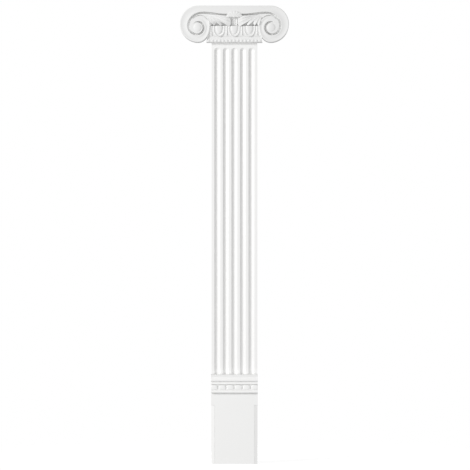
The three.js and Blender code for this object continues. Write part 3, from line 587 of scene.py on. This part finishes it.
def scroll_edge(turn):
    """The outer edge of the scroll's band by quarter ellipses; turn counts quarters from its top,
    outwards and down."""
    turn = np.atleast_1d(np.asarray(turn, float))
    quarter = np.minimum(turn.astype(int), len(SCROLL_EXTREMES) - 2)
    start, end = SCROLL_EXTREMES[quarter], SCROLL_EXTREMES[quarter + 1]
    upright = quarter % 2 == 0
    centre_x = np.where(upright, start[:, 0], end[:, 0])
    centre_below = np.where(upright, end[:, 1], start[:, 1])
    radii = np.abs(end - start)
    angle = turn * math.pi / 2
    x = centre_x + radii[:, 0] * np.sin(angle)
    return np.column_stack([x, centre_below - radii[:, 1] * np.cos(angle)])


def spiral(angle):
    """The middle of the groove round the eye at distance core + reach * exp(-angle / decay)."""
    angle = np.atleast_1d(np.asarray(angle, float))
    reach = (SPIRAL_CORE + SPIRAL_REACH * np.exp(-angle / SPIRAL_DECAY)) * CAPITAL_HEIGHT
    return np.column_stack([EYE_X + reach * np.sin(angle), EYE_BELOW - reach * np.cos(angle)])


def groove_line(top_steps, spiral_steps):
    """The groove's whole line: from behind the flower by a soft step up to the scroll, and then the
    spiral."""
    start = spiral(SPIRAL_START)[0]
    x = mix(FLOWER_HALF_WIDTH / 2, start[0], np.arange(top_steps) / top_steps)
    below = mix(GROOVE_DIP_BELOW, start[1], soft_step(GROOVE_DIP_X, start[0], x))
    turned = spiral(np.linspace(SPIRAL_START, SPIRAL_END, spiral_steps + 1))
    return np.concatenate([np.column_stack([x, below]), turned])


def across(line):
    """The line's direction (u, v) at each place, turned to (-v, u)."""
    along = np.gradient(line, axis=0)
    along /= np.linalg.norm(along, axis=1, keepdims=True)
    return np.column_stack([-along[:, 1], along[:, 0]])


def channel(line, reaches, depths):
    """A section carried along a line in the front view; each place has its own reaches across and
    depths."""
    sideways = across(line)
    x = line[:, :1] + sideways[:, :1] * reaches
    below = line[:, 1:] + sideways[:, 1:] * reaches
    return carried(on_capital(x, below, depths))


def both_sides(form):
    """The form and its mirror image in the plane x = 0."""
    mesh = form.data.copy()
    points = np.empty(len(mesh.vertices) * 3)
    mesh.vertices.foreach_get("co", points)
    mesh.vertices.foreach_set("co", mirrored(points.reshape(-1, 3)).ravel())
    mesh.flip_normals()
    return [form, placed("form", mesh)]


def scroll_body():
    """The outline of both scrolls and the band between them, carried from the wall to the face; its
    sides are hollowed by a waist and its front edge is a quarter round, narrower than it is
    deep."""
    turn = np.linspace(0, 3, 121)
    angle = turn * math.pi / 2
    edge = scroll_edge(turn)
    edge = np.vstack([edge, [edge[-1, 0], ECHINUS_TOP]])
    out = np.column_stack([np.append(np.sin(angle), -1), np.append(-np.cos(angle), 0)])
    edge = np.vstack([edge, mirrored(edge)[::-1]])
    out = np.vstack([out, mirrored(out)[::-1]])
    flank = out * np.column_stack([np.ones(len(out)), out[:, 1] > 0])
    round_over = np.linspace(0, math.pi / 2, 7)
    share = np.linspace(0, WAIST_END, 13)
    waist = BOLSTER_WAIST * (soft_step(*WAIST_IN, share) - soft_step(*WAIST_OUT, share))
    depth = SCROLL_FACE_DEPTH * share
    sections = [on_capital(*(edge - flank * w).T, d) for d, w in zip(depth, waist)]
    for a in round_over:
        pulled = edge - out * SCROLL_EDGE_ROUND * (1 - math.cos(a)) * SCROLL_EDGE_SHARE
        depth = SCROLL_FACE_DEPTH - SCROLL_EDGE_ROUND * (1 - math.sin(a))
        sections.append(on_capital(*pulled.T, depth))
    return carried(sections)


def field_cut():
    """The sunk field from the groove down to the eggs, with a tail between groove and second turn
    that ends in a point."""
    line = groove_line(12, 110)
    angle = np.arctan2(line[:, 0] - EYE_X, EYE_BELOW - line[:, 1])
    stop = np.argmax((angle > FIELD_TAIL_END) | (line[:, 1] > EYE_BELOW))
    share = np.linspace(1, 0, 25)[:-1, None]
    edge = scroll_edge(4 + share[:, 0] * FIELD_TAIL_TURN)
    tail = mix(edge, spiral(FIELD_TAIL_END * share[:, 0]), share ** 2)
    side = scroll_edge(3 + np.linspace(1, 0, 25))
    right = np.vstack([line[:stop], tail, side])
    outline = np.vstack([right, mirrored(right)[::-1]])
    return plate(outline, SCROLL_FACE_DEPTH - FIELD_SUNK, SCROLL_FACE_DEPTH + BED)


def band_hollow():
    """A shallow arc across the scroll's band, between two flat fillets, that fades out as the band
    narrows."""
    top = spiral(0)[0]
    top_steps = 14
    x = mix(-BED, SCROLL_X, np.arange(top_steps) / top_steps)
    below = mix(GROOVE_DIP_BELOW, top[1], soft_step(GROOVE_DIP_X, top[0], x))
    turn = np.linspace(0, BAND_HOLLOW_END, 116)
    angle = turn * math.pi / 2
    outer = np.vstack([np.column_stack([x, np.zeros(top_steps)]), scroll_edge(turn)])
    inward = np.column_stack([np.sin(angle), -np.cos(angle)]) * GROOVE_WIDTH / 2
    inner = np.vstack([np.column_stack([x, below - GROOVE_WIDTH / 2]), spiral(angle) + inward])
    share = np.linspace(0, 1, len(outer))
    fade = 1 - soft_step(FADE_START, 1, share) * BAND_HOLLOW_NARROWING
    half = np.maximum(np.linalg.norm(outer - inner, axis=1) / 2 - BAND_FILLET, BED) * fade
    s = np.linspace(-1, 1, 13)
    sunk = np.concatenate([[-BED], BAND_HOLLOW * (1 - s ** 2), [-BED]])
    reach = np.concatenate([[-1], s, [1]])
    reaches = half[:, None] * reach + np.sign(reach) * (np.abs(reach) >= 1) * HAIR
    depths = SCROLL_FACE_DEPTH - sunk * np.where(sunk > 0, fade[:, None], 1)
    return channel((outer + inner) / 2, reaches, depths)


def groove_cut():
    """The dark groove: a round-bottomed channel with soft lips. It opens out and grows shallower by
    exp(-((angle - 90 degrees) / span)^2) on the scroll's outer side, and fades away beside the
    eye."""
    top_steps, spiral_steps = 20, 170
    line = groove_line(top_steps, spiral_steps)
    share = np.linspace(0, 1, len(line))
    fade = 1 - soft_step(FADE_START, 1, share)
    turn = np.linspace(SPIRAL_START, SPIRAL_END, spiral_steps + 1)
    turn = np.concatenate([np.full(top_steps, SPIRAL_START), turn])
    opened = np.exp(-((turn - math.pi / 2) / GROOVE_OPEN_SPAN) ** 2)
    width = mix(GROOVE_FLOWER_WIDTH, GROOVE_WIDTH, soft_step(0, GROOVE_NARROWING, share))
    half = width / 2 * mix(GROOVE_END_WIDTH, 1, fade) * mix(1, GROOVE_OPEN_WIDTH, opened)
    half = half[:, None]
    lip = GROOVE_LIP * mix(GROOVE_END_LIP, 1, fade)[:, None]
    # Each point's reach in half widths and in lips, and its depth in lips, or in shares on the wall
    side = [(1, 1.4, -BED), (1, 0.9, -0.12), (1, 0.25, 0.25), (1, 0, 1.0)]
    wall = [(0.9, 0, 0.45), (0.72, 0, 0.78), (0.42, 0, 0.95), (0, 0, 1)]
    sunk = GROOVE_SUNK * mix(GROOVE_END_DEPTH, 1, fade) * mix(1, GROOVE_OPEN_DEPTH, opened)
    sunk = sunk[:, None]
    reach = np.hstack([half * h + lip * out for h, out, _ in side] + [half * h for h, _, _ in wall])
    floor = [np.broadcast_to(d * lip if d > -BED else -BED, half.shape) for _, _, d in side]
    floor = np.hstack(floor + [sunk * d for _, _, d in wall])
    reaches = np.hstack([-reach, reach[:, -2::-1]])
    depths = SCROLL_FACE_DEPTH - np.hstack([floor, floor[:, -2::-1]])
    return channel(line, reaches, depths)


def turn_quirk():
    """The narrow line beside the scroll's second turn, which widens and deepens as the sine of its
    share run."""
    share = np.linspace(0, 1, 49)
    edge = scroll_edge(mix(*TURN_QUIRK_SPAN, share))
    swell = mix(TURN_QUIRK_END, 1, np.sin(share * math.pi))[:, None]
    line = edge - across(edge) * TURN_QUIRK_WIDTH / 2 * swell
    reach = np.array([-1, -1, -0.7, 0, 0.7, 1, 1]) * TURN_QUIRK_WIDTH / 2 * swell
    sunk = mix(FIELD_SUNK, TURN_QUIRK_SUNK, swell) * np.array([0, 0.6, 0.95, 1, 0.95, 0.6, 0])
    depth = SCROLL_FACE_DEPTH - sunk + np.array([BED, 0, 0, 0, 0, 0, BED])
    return channel(line, reach, depth)


def scroll_eye():
    """A button: the front of a flattened ball."""
    middle = on_capital(EYE_X, EYE_BELOW, SCROLL_FACE_DEPTH - BED)
    return ball(middle, (EYE_RADIUS, EYE_RISE + BED, EYE_RADIUS), 72, 36)


def neck_block():
    """The egg moulding's ground, the astragal and the foot under it, as a block whose half width
    grows and shrinks as much as its depth, so that its corners are mitred. Over its drop t the
    ground swells by 4 * swell * t * (1 - t)."""
    a = np.linspace(0, math.pi, 17)
    astragal = np.column_stack([
        ASTRAGAL_BELOW - ASTRAGAL_RADIUS * np.cos(a),
        NECK_DEPTH + ASTRAGAL_LEAD * np.sin(a),
    ])
    foot_depth = NECK_DEPTH + NECK_FOOT_LEAD
    drop = np.linspace(0, 1, 13)
    swell = 4 * EGG_MOULDING_SWELL * drop * (1 - drop)
    ground = mix(ECHINUS_TOP_DEPTH, ECHINUS_FOOT_DEPTH, drop) + swell
    steps = np.concatenate([
        np.column_stack([mix(ECHINUS_TOP, ECHINUS_BOTTOM, drop), ground]),
        [[ECHINUS_BOTTOM + BED * 2, NECK_DEPTH]],
        astragal,
        [[ASTRAGAL_BELOW + ASTRAGAL_RADIUS + BED, foot_depth], [CAPITAL_HEIGHT, foot_depth]],
    ])
    below, depth = steps[:, :1], steps[:, 1:]
    half = NECK_HALF_WIDTH + depth - NECK_DEPTH
    sides = np.array([[-1, 1, 1, -1]])
    return carried(on_capital(half * sides, below, depth * np.array([[1, 1, 0, 0]])))


def pearls():
    """A row of balls along the astragal."""
    pitch = NECK_HALF_WIDTH * 2 / PEARL_COUNT
    sizes = (pitch / 2 - PEARL_GAP / 2, PEARL_RADIUS, PEARL_RADIUS)
    depth = NECK_DEPTH - ASTRAGAL_RADIUS / 2
    places = [on_capital(x, ASTRAGAL_BELOW, depth) for x in row_of(PEARL_COUNT, pitch)]
    return [ball(place, sizes, 32, 20) for place in places]


def egg(x):
    """A ball narrowed by 1 - narrowing * v^2 towards its foot and flattened in front: with w the
    true ball's lead, its own is (1 - (1 - w^2)^1.5)^(1 / 3)."""

    def narrowed(unit):
        narrow = 1 - EGG_NARROWING * np.maximum(0, -unit[:, 2]) ** 2
        lead = np.cbrt(1 - np.clip(1 - unit[:, 1] ** 2, 0, 1) ** 1.5)
        return np.column_stack([unit[:, 0] * narrow, np.sign(unit[:, 1]) * lead, unit[:, 2]])

    sizes = (EGG_HALF_WIDTH, EGG_RELIEF, EGG_MOULDING_HEIGHT - EGG_SHOULDER - EGG_FOOT)
    middle = on_capital(x, ECHINUS_TOP + EGG_SHOULDER, ECHINUS_FOOT_DEPTH)
    return ball(middle, sizes, 64, 40, narrowed)


def egg_shell(x):
    """A rounded rim carried down one side of the egg, round its foot and up the other side."""
    half_width = EGG_HALF_WIDTH + SHELL_GAP
    start = ECHINUS_TOP - CARVING_SPARE
    bend = ECHINUS_BOTTOM - half_width * SHELL_BEND
    angle = np.linspace(math.pi / 2, -math.pi / 2, 57)
    dx = np.concatenate([[-half_width], -half_width * np.sin(angle), [half_width]])
    below = np.concatenate([[start], bend + (ECHINUS_BOTTOM - bend) * np.cos(angle), [start]])
    angle = np.concatenate([[math.pi / 2], angle, [-math.pi / 2]])
    # Its reach in thicknesses, and its lead in twelfths of the relief; both ends are buried
    section = np.array([
        (-0.5, -CARVING_ROOT), (-0.46, 5), (-0.4, 8.2), (-0.3, 10.5), (-0.17, 11.6), (-0.03, 12),
        (0.12, 11.8), (0.26, 10.9), (0.37, 9.1), (0.44, 6.3), (0.5, -CARVING_ROOT),
    ])
    reach, lead = section[:, 0] * SHELL_THICKNESS, section[:, 1]
    lead = np.where(lead > 0, lead * SHELL_RELIEF / 12, lead)
    xs = x + dx[:, None] - np.sin(angle)[:, None] * reach
    belows = below[:, None] + np.cos(angle)[:, None] * reach
    return carried(on_capital(xs, belows, ECHINUS_FOOT_DEPTH + lead))


def dart(x):
    """A ridged blade whose half width follows a smooth curve: a shaft, an arrow head and a
    point."""
    length = EGG_MOULDING_HEIGHT - DART_FOOT
    # Shares of its length and of its half width
    blade = smooth_through([
        (0, 0.9), (0.35, 0.62), (0.6, 0.42), (0.72, 0.8), (0.82, 0.6), (0.92, 0.28), (1, DART_TIP),
    ], 61)
    drop = blade[:, 0]
    below = np.where(drop <= 0, ECHINUS_TOP - CARVING_SPARE, ECHINUS_TOP + length * drop)[:, None]
    half = DART_HALF_WIDTH * np.maximum(blade[:, 1], DART_TIP)[:, None]
    section = np.array([
        (-1, -CARVING_ROOT), (-1, DART_RELIEF * 0.35), (-0.6, DART_RELIEF * 0.68), (0, DART_RELIEF),
    ])
    section = np.vstack([section, mirrored(section[:-1])[::-1]])
    return carried(on_capital(x + half * section[:, 0], below, ECHINUS_FOOT_DEPTH + section[:, 1]))


def eggs_and_darts():
    """The row of eggs, shells and darts, cut off flat at the moulding's top."""
    middles = row_of(EGG_COUNT, EGG_PITCH)
    eggs, shells = [egg(x) for x in middles], [egg_shell(x) for x in middles]
    row = united([*eggs, *shells, *(dart(x) for x in row_of(EGG_COUNT + 1, EGG_PITCH))])
    reach, front = EGG_COUNT * EGG_PITCH, SCROLL_FACE_DEPTH * 2
    above = box(on_capital(-reach, ECHINUS_TOP, -BED), on_capital(reach, 0, front))
    return cut(row, [above])


# Each lobe's inner side, tip and outer side and the notch beyond it as shares of the way from stem
# to scroll, then the rise of its tip, its shoulders and the notch over the eggs' top edge
LOBES = (
    (0.02, 0.11, 0.22, 0.48, -3, 5, 21),
    (0.43, 0.50, 0.58, 0.67, 2, 8, 24),
    (0.76, 0.81, 0.85, 0.90, 1, 8, 14),
    (0.95, 1.00, 1.04, 1.09, -2, 4, 12),
)


def leaf_edge(steps):
    """The leaf's edge as (x, below, ridge): down the side of the stem by veins, then a smooth curve
    over each lobe, with a sharp notch between two lobes."""
    stem = [
        (FLOWER_HALF_WIDTH * 0.85, FLOWER_FOOT - 7, 0.2),
        (FLOWER_HALF_WIDTH * 0.6, FLOWER_FOOT + 2, -0.7),
        (STEM_HALF_WIDTH + 3, FLOWER_FOOT + 12, 0.7),
        (STEM_HALF_WIDTH, FLOWER_FOOT + 23, -0.5),
        (STEM_HALF_WIDTH, FLOWER_FOOT + 34, 0.8),
    ]
    spans = []
    start = stem
    for inner, tip, outer, notch, tip_rise, shoulder, notch_rise in LOBES:
        x = mix(STEM_HALF_WIDTH, SCROLL_INNER_X, np.array([inner, tip, outer, notch]))
        below = ECHINUS_TOP - np.array([shoulder, tip_rise, shoulder, notch_rise])
        points = start + list(zip(x, below, (0, 1, 0, -1)))
        spans.append(smooth_through(points, (len(points) - 1) * steps + 1)[1 if spans else 0:])
        start = points[-1:]
    return np.vstack(spans)


def leaf():
    """Veins run from the root to the edge. Depth is the face - root + swell, a quarter sine along
    the vein up to where it is fullest, less the curl at the tips, less a valley between veins and a
    round-over at the very edge; fine veins ripple over it as the cosine of 2.5 pi times the
    ridge."""
    edge = leaf_edge(7)
    row = 1 - np.linspace(1, 0, 45)[:, None] ** LEAF_CROWDING
    column = np.linspace(0, 1, len(edge))
    root_x = SCROLL_INNER_X + LEAF_ROOT_SHIFT - LEAF_ROOT_SPREAD * (1 - column)
    root_below = LEAF_ROOT_BELOW - LEAF_ROOT_SPREAD / 2 * (1 - column)
    x = mix(root_x, edge[:, 0], row)
    below = mix(root_below, edge[:, 1], row ** LEAF_VEIN_BEND)
    swell = (LEAF_ROOT_SUNK + LEAF_LEAD) * np.sin(np.minimum(row / LEAF_FULL, 1) * math.pi / 2)
    ridge = edge[:, 2]
    vein = LEAF_VALLEY / 2 * (ridge - 1) * soft_step(0, 0.5, row)
    shown = soft_step(0.15, 0.6, row) * (1 - soft_step(0.9, 1, row))
    fine = LEAF_FINE_VEIN * np.cos(ridge * math.pi * 2.5) * shown
    last = np.clip((row - (1 - LEAF_EDGE_SHARE)) / LEAF_EDGE_SHARE, 0, 1)
    rounded = LEAF_EDGE_ROUND * (1 - np.sqrt(1 - last ** 2))
    curl = LEAF_CURL * soft_step(LEAF_CURL_START, 1, row)
    depth = SCROLL_FACE_DEPTH - LEAF_ROOT_SUNK + swell - curl + vein + fine - rounded
    return relief(on_capital(x, below, depth), SCROLL_FACE_DEPTH - SLOT_SUNK - BED)


def stem_recess():
    """The box-shaped recess between the two leaves."""
    top, half = FLOWER_FOOT - 2 * BED, STEM_HALF_WIDTH
    outline = [(-half, top), (half, top), (half, ECHINUS_TOP), (-half, ECHINUS_TOP)]
    return plate(outline, SCROLL_FACE_DEPTH - STEM_SUNK, SCROLL_FACE_DEPTH + FLOWER_LEAD)


def stem_reeds():
    """Upright reeds, each a long ball."""
    pitch = STEM_HALF_WIDTH * 2 / STEM_REED_COUNT
    sizes = (pitch / 2 - REED_GAP / 2, REED_LEAD, (ECHINUS_TOP - FLOWER_FOOT) / 2 + REED_SPARE)
    middle, depth = (FLOWER_FOOT + ECHINUS_TOP) / 2, SCROLL_FACE_DEPTH - STEM_SUNK - REED_SUNK
    places = [on_capital(x, middle, depth) for x in row_of(STEM_REED_COUNT, pitch)]
    return [ball(place, sizes, 28, 24) for place in places]


def slot_cut():
    """The deep slot over the eggs, which the leaf's lobes hang into."""
    start = STEM_HALF_WIDTH - BED
    outline = [
        (start, ECHINUS_TOP - SLOT_RISE),
        (start, ECHINUS_TOP),
        (SCROLL_INNER_X, ECHINUS_TOP),
        (SCROLL_INNER_X, scroll_edge(SLOT_SCROLL_TURN)[0, 1]),
        (mix(start, SCROLL_INNER_X, SLOT_TOP_END), ECHINUS_TOP - SLOT_RISE),
    ]
    return plate(outline, SCROLL_FACE_DEPTH - SLOT_SUNK, SCROLL_FACE_DEPTH + BED)


def flower():
    """A fan and the boss at its foot. Over turn a and share r of the reach, the fan leads by lead *
    (1 - r^3)^0.5, less creases between petals that grow with r; each petal's edge is a shallow
    arc."""
    r = np.sin(np.linspace(0.04, 1, 33) * math.pi / 2)[:, None]
    a = np.linspace(-math.pi / 2, math.pi / 2, FLOWER_PETALS * 18 + 1)[None, :]
    arc = np.abs(np.sin((a / math.pi + 0.5) * FLOWER_PETALS * math.pi))
    reach = r * (1 - FLOWER_SCALLOP + FLOWER_SCALLOP * np.sqrt(arc))
    crease = FLOWER_CREASE * (1 - arc) ** 2 * soft_step(0.1, 0.6, r)
    lead = FLOWER_LEAD * np.sqrt(np.clip(1 - r ** 3, 0, 1))
    x = FLOWER_HALF_WIDTH * np.sin(a) * reach
    below = FLOWER_FOOT - FLOWER_HEIGHT * np.cos(a) * reach
    front = on_capital(x, below, SCROLL_FACE_DEPTH + lead - crease)
    fan = relief(front, SCROLL_FACE_DEPTH - STEM_SUNK)
    sizes = (BOSS_HALF_WIDTH, FLOWER_LEAD + BOSS_LEAD, BOSS_HALF_HEIGHT)
    return [fan, ball(on_capital(0, FLOWER_FOOT - BOSS_RISE, SCROLL_FACE_DEPTH), sizes, 36, 20)]


def capital_casting():
    """The scroll body with its field, hollow, groove and slot cut, and everything carved on it."""
    tools = [field_cut()]
    for tool in (band_hollow, groove_cut, turn_quirk, slot_cut):
        tools += both_sides(tool())
    body = cut(scroll_body(), tools)
    body = together(body, [*both_sides(scroll_eye()), *both_sides(leaf())])
    body = cut(body, [stem_recess()])
    return together(body, [neck_block(), *stem_reeds(), *flower(), eggs_and_darts(), *pearls()])


# ---- Finish


class Value:
    """A socket in a sum: an operator adds its Math node."""

    def __init__(self, finish, socket):
        self.finish, self.socket = finish, socket

    def math(self, operation, *values):
        return self.finish.node("ShaderNodeMath", {"operation": operation}, dict(enumerate(values)))

    def __add__(self, other):
        return self.math("ADD", self, other)

    def __mul__(self, other):
        return self.math("MULTIPLY", self, other)

    def __sub__(self, other):
        return self.math("SUBTRACT", self, other)

    def __rsub__(self, other):
        return self.math("SUBTRACT", other, self)

    __radd__ = __add__
    __rmul__ = __mul__


class Finish:
    """A material under its maker's name, with one method that adds any node."""

    def __init__(self, name):
        self.material = bpy.data.materials.new(name)
        self.material.use_nodes = True
        self.tree = self.material.node_tree
        self.tree.nodes.clear()

    def node(self, kind, settings=None, inputs=None, output=0):
        """Adds a node: its settings first, then the values or links of its sockets."""
        made = self.tree.nodes.new(kind)
        for key, value in (settings or {}).items():
            setattr(made, key, value)
        for key, value in (inputs or {}).items():
            if isinstance(value, Value):
                self.tree.links.new(value.socket, made.inputs[key])
            else:
                made.inputs[key].default_value = value
        return Value(self, made.outputs[output]) if len(made.outputs) else made


def noise(finish, place, scale, detail):
    """Noise between zero and one; scale is how many of its waves go into a metre."""
    inputs = {"Vector": place, "Scale": scale, "Detail": detail}
    return finish.node("ShaderNodeTexNoise", inputs=inputs)


def casting_finish(name, light, shade, shift):
    """Matt primer on a moulded casting: its white drifts a little in soft clouds, fine specks of
    the foam's skin show in it, and the surface has a faint orange peel under a fine grain."""
    finish = Finish(name)
    place = finish.node("ShaderNodeTexCoord", output=3)
    place = finish.node("ShaderNodeVectorMath", {"operation": "ADD"}, {0: place, 1: shift})
    cloud = noise(finish, place, 7.0, 3.0)
    mottle = noise(finish, place, 90.0, 4.0)
    peel = noise(finish, place, 420.0, 2.0)
    grain = noise(finish, place, 1900.0, 2.0)
    tone = cloud * 0.6 + mottle * 0.4
    whites = {0: tone, 6: (*shade, 1), 7: (*light, 1)}
    colour = finish.node("ShaderNodeMix", {"data_type": "RGBA"}, whites, output=2)
    roughness = 0.5 + 0.16 * mottle - 0.06 * peel
    height = peel * 0.6 + grain * 0.25 + cloud * 1.5
    skin = {"Strength": 0.12, "Distance": 0.0006, "Height": height}
    bump = finish.node("ShaderNodeBump", inputs=skin)
    shader = finish.node("ShaderNodeBsdfPrincipled", inputs={
        "Base Color": colour, "Roughness": roughness, "Normal": bump,
        "IOR": 1.46, "Specular IOR Level": 0.35,
    })
    finish.node("ShaderNodeOutputMaterial", inputs={"Surface": shader})
    return finish.material


def finished(form, name, material):
    """The casting under its name: smooth over its curves, sharp at its arrises, and true to its
    flats."""
    form.name = name
    form.data.name = name
    form.data.materials.clear()
    form.data.materials.append(material)
    form.data.polygons.foreach_set("use_smooth", np.ones(len(form.data.polygons), bool))
    form.data.set_sharp_from_angle(angle=SHARP_ANGLE)
    weighted = form.modifiers.new("true flats", "WEIGHTED_NORMAL")
    weighted.keep_sharp = True
    together(form, [])
    form.data.polygons.foreach_set("material_index", np.zeros(len(form.data.polygons), np.int32))
    return form


# ---- Studio


def studio_floor(height, radius):
    """A pale round floor that fades out towards its rim: points at (r cos a, r sin a)."""
    rings, around = 24, 96
    r = np.linspace(0.02, 1, rings)[:, None] * radius
    a = np.arange(around)[None, :] * (2 * math.pi / around)
    points = np.stack(np.broadcast_arrays(r * np.cos(a), r * np.sin(a), height), axis=-1)
    faces = net(rings, around, closed=True).tolist() + [list(range(around))]
    mesh = bpy.data.meshes.new("floor")
    mesh.from_pydata(points.reshape(-1, 3), [], faces)
    floor = placed("floor", mesh)
    finish = Finish("pale floor")
    place = finish.node("ShaderNodeTexCoord", output=3)
    distance = finish.node("ShaderNodeVectorMath", {"operation": "LENGTH"}, {0: place}, output=1)
    settings = {"interpolation_type": "SMOOTHSTEP"}
    spread = {0: distance, 1: radius * 0.35, 2: radius * 0.98, 3: 1.0, 4: 0.0}
    solid = finish.node("ShaderNodeMapRange", settings, spread)
    paint = finish.node("ShaderNodeBsdfPrincipled", inputs={
        "Base Color": (0.9, 0.9, 0.9, 1), "Roughness": 0.8, "Alpha": solid,
        "Emission Color": (1, 1, 1, 1), "Emission Strength": 0.5,
    })
    finish.node("ShaderNodeOutputMaterial", inputs={"Surface": paint})
    mesh.materials.append(finish.material)
    floor.visible_shadow = False
    floor.visible_diffuse = False


def softbox(name, towards, away, size, strength):
    """A square light that looks at the part's middle; its strength is what it adds to a white face
    that is square to it, and its power is that times (pi * distance)^2."""
    data = bpy.data.lights.new(name, "AREA")
    data.shape = "SQUARE"
    data.size = size
    data.energy = strength * (math.pi * away) ** 2
    light = placed(name, data)
    middle = Vector((0, 0, MIDDLE_HEIGHT))
    direction = Vector(towards).normalized()
    light.location = middle + direction * away
    light.rotation_euler = (-direction).to_track_quat("-Z", "Y").to_euler()


def studio_air(seen, lit):
    """White all round: as the camera sees it, and as it lights the part."""
    world = bpy.data.worlds.new("studio")
    world.use_nodes = True
    bpy.context.scene.world = world
    tree = world.node_tree
    tree.nodes.clear()
    path = tree.nodes.new("ShaderNodeLightPath")
    amount = tree.nodes.new("ShaderNodeMix")
    amount.inputs[2].default_value = lit
    amount.inputs[3].default_value = seen
    air = tree.nodes.new("ShaderNodeBackground")
    air.inputs["Color"].default_value = (1, 1, 1, 1)
    out = tree.nodes.new("ShaderNodeOutputWorld")
    tree.links.new(path.outputs["Is Camera Ray"], amount.inputs[0])
    tree.links.new(amount.outputs[0], air.inputs["Strength"])
    tree.links.new(air.outputs[0], out.inputs["Surface"])


def photo_camera():
    """A long lens square to the front, as far off as makes the frame 2831 mm wide at the faces."""
    data = bpy.data.cameras.new("camera")
    data.lens = 200
    data.sensor_width = 36
    data.clip_end = 60
    camera = placed("camera", data)
    frame_width = 2.831
    away = frame_width * data.lens / data.sensor_width
    camera.location = (CAMERA_SHIFT, -away - FACES, MIDDLE_HEIGHT)
    camera.rotation_euler = (math.pi / 2, 0, 0)
    bpy.context.scene.camera = camera


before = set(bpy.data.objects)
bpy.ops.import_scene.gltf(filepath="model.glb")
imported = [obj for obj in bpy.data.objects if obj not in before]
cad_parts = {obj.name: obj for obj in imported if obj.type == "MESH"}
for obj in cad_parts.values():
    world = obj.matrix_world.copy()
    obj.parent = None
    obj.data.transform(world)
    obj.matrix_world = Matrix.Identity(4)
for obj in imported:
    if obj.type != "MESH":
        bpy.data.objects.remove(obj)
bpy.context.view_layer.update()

PIECES = (
    ("base", base_casting, "base_casting",
     (0.872, 0.871, 0.865), (0.852, 0.851, 0.844), (0.3, 1.7, 0.0)),
    ("shaft", shaft_casting, "shaft_casting",
     (0.858, 0.857, 0.851), (0.84, 0.839, 0.832), (2.1, 0.4, 0.0)),
    # The capital's whites are darker than the base's and the shaft's: painted shade for the dimmer
    # light that fell on it, over a slight real difference between castings
    ("capital", capital_casting, "capital_casting",
     (0.792, 0.792, 0.788), (0.776, 0.776, 0.771), (0.9, 3.2, 0.0)),
)
for node, casting, slot, light_white, dark_white, pattern_shift in PIECES:
    white = casting_finish(f"{node} primer", light_white, dark_white, pattern_shift)
    piece = finished(casting(), f"{node}_casting", white)
    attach(piece, "root")
    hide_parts(node)

studio_floor(BASE_TOP * MM - BASE_HEIGHT * MM, 2.6)
softbox("key", (-1.45, -1.0, 0.85), 9.0, 2.0, 0.62)
softbox("front", (0.0, -1.0, -0.2), 9.0, 6.0, 0.435)
softbox("back", (0.5, 1.0, 0.4), 9.0, 6.0, 0.35)
studio_air(seen=1.0, lit=0.33)
photo_camera()
bpy.context.scene.view_settings.view_transform = "Standard"
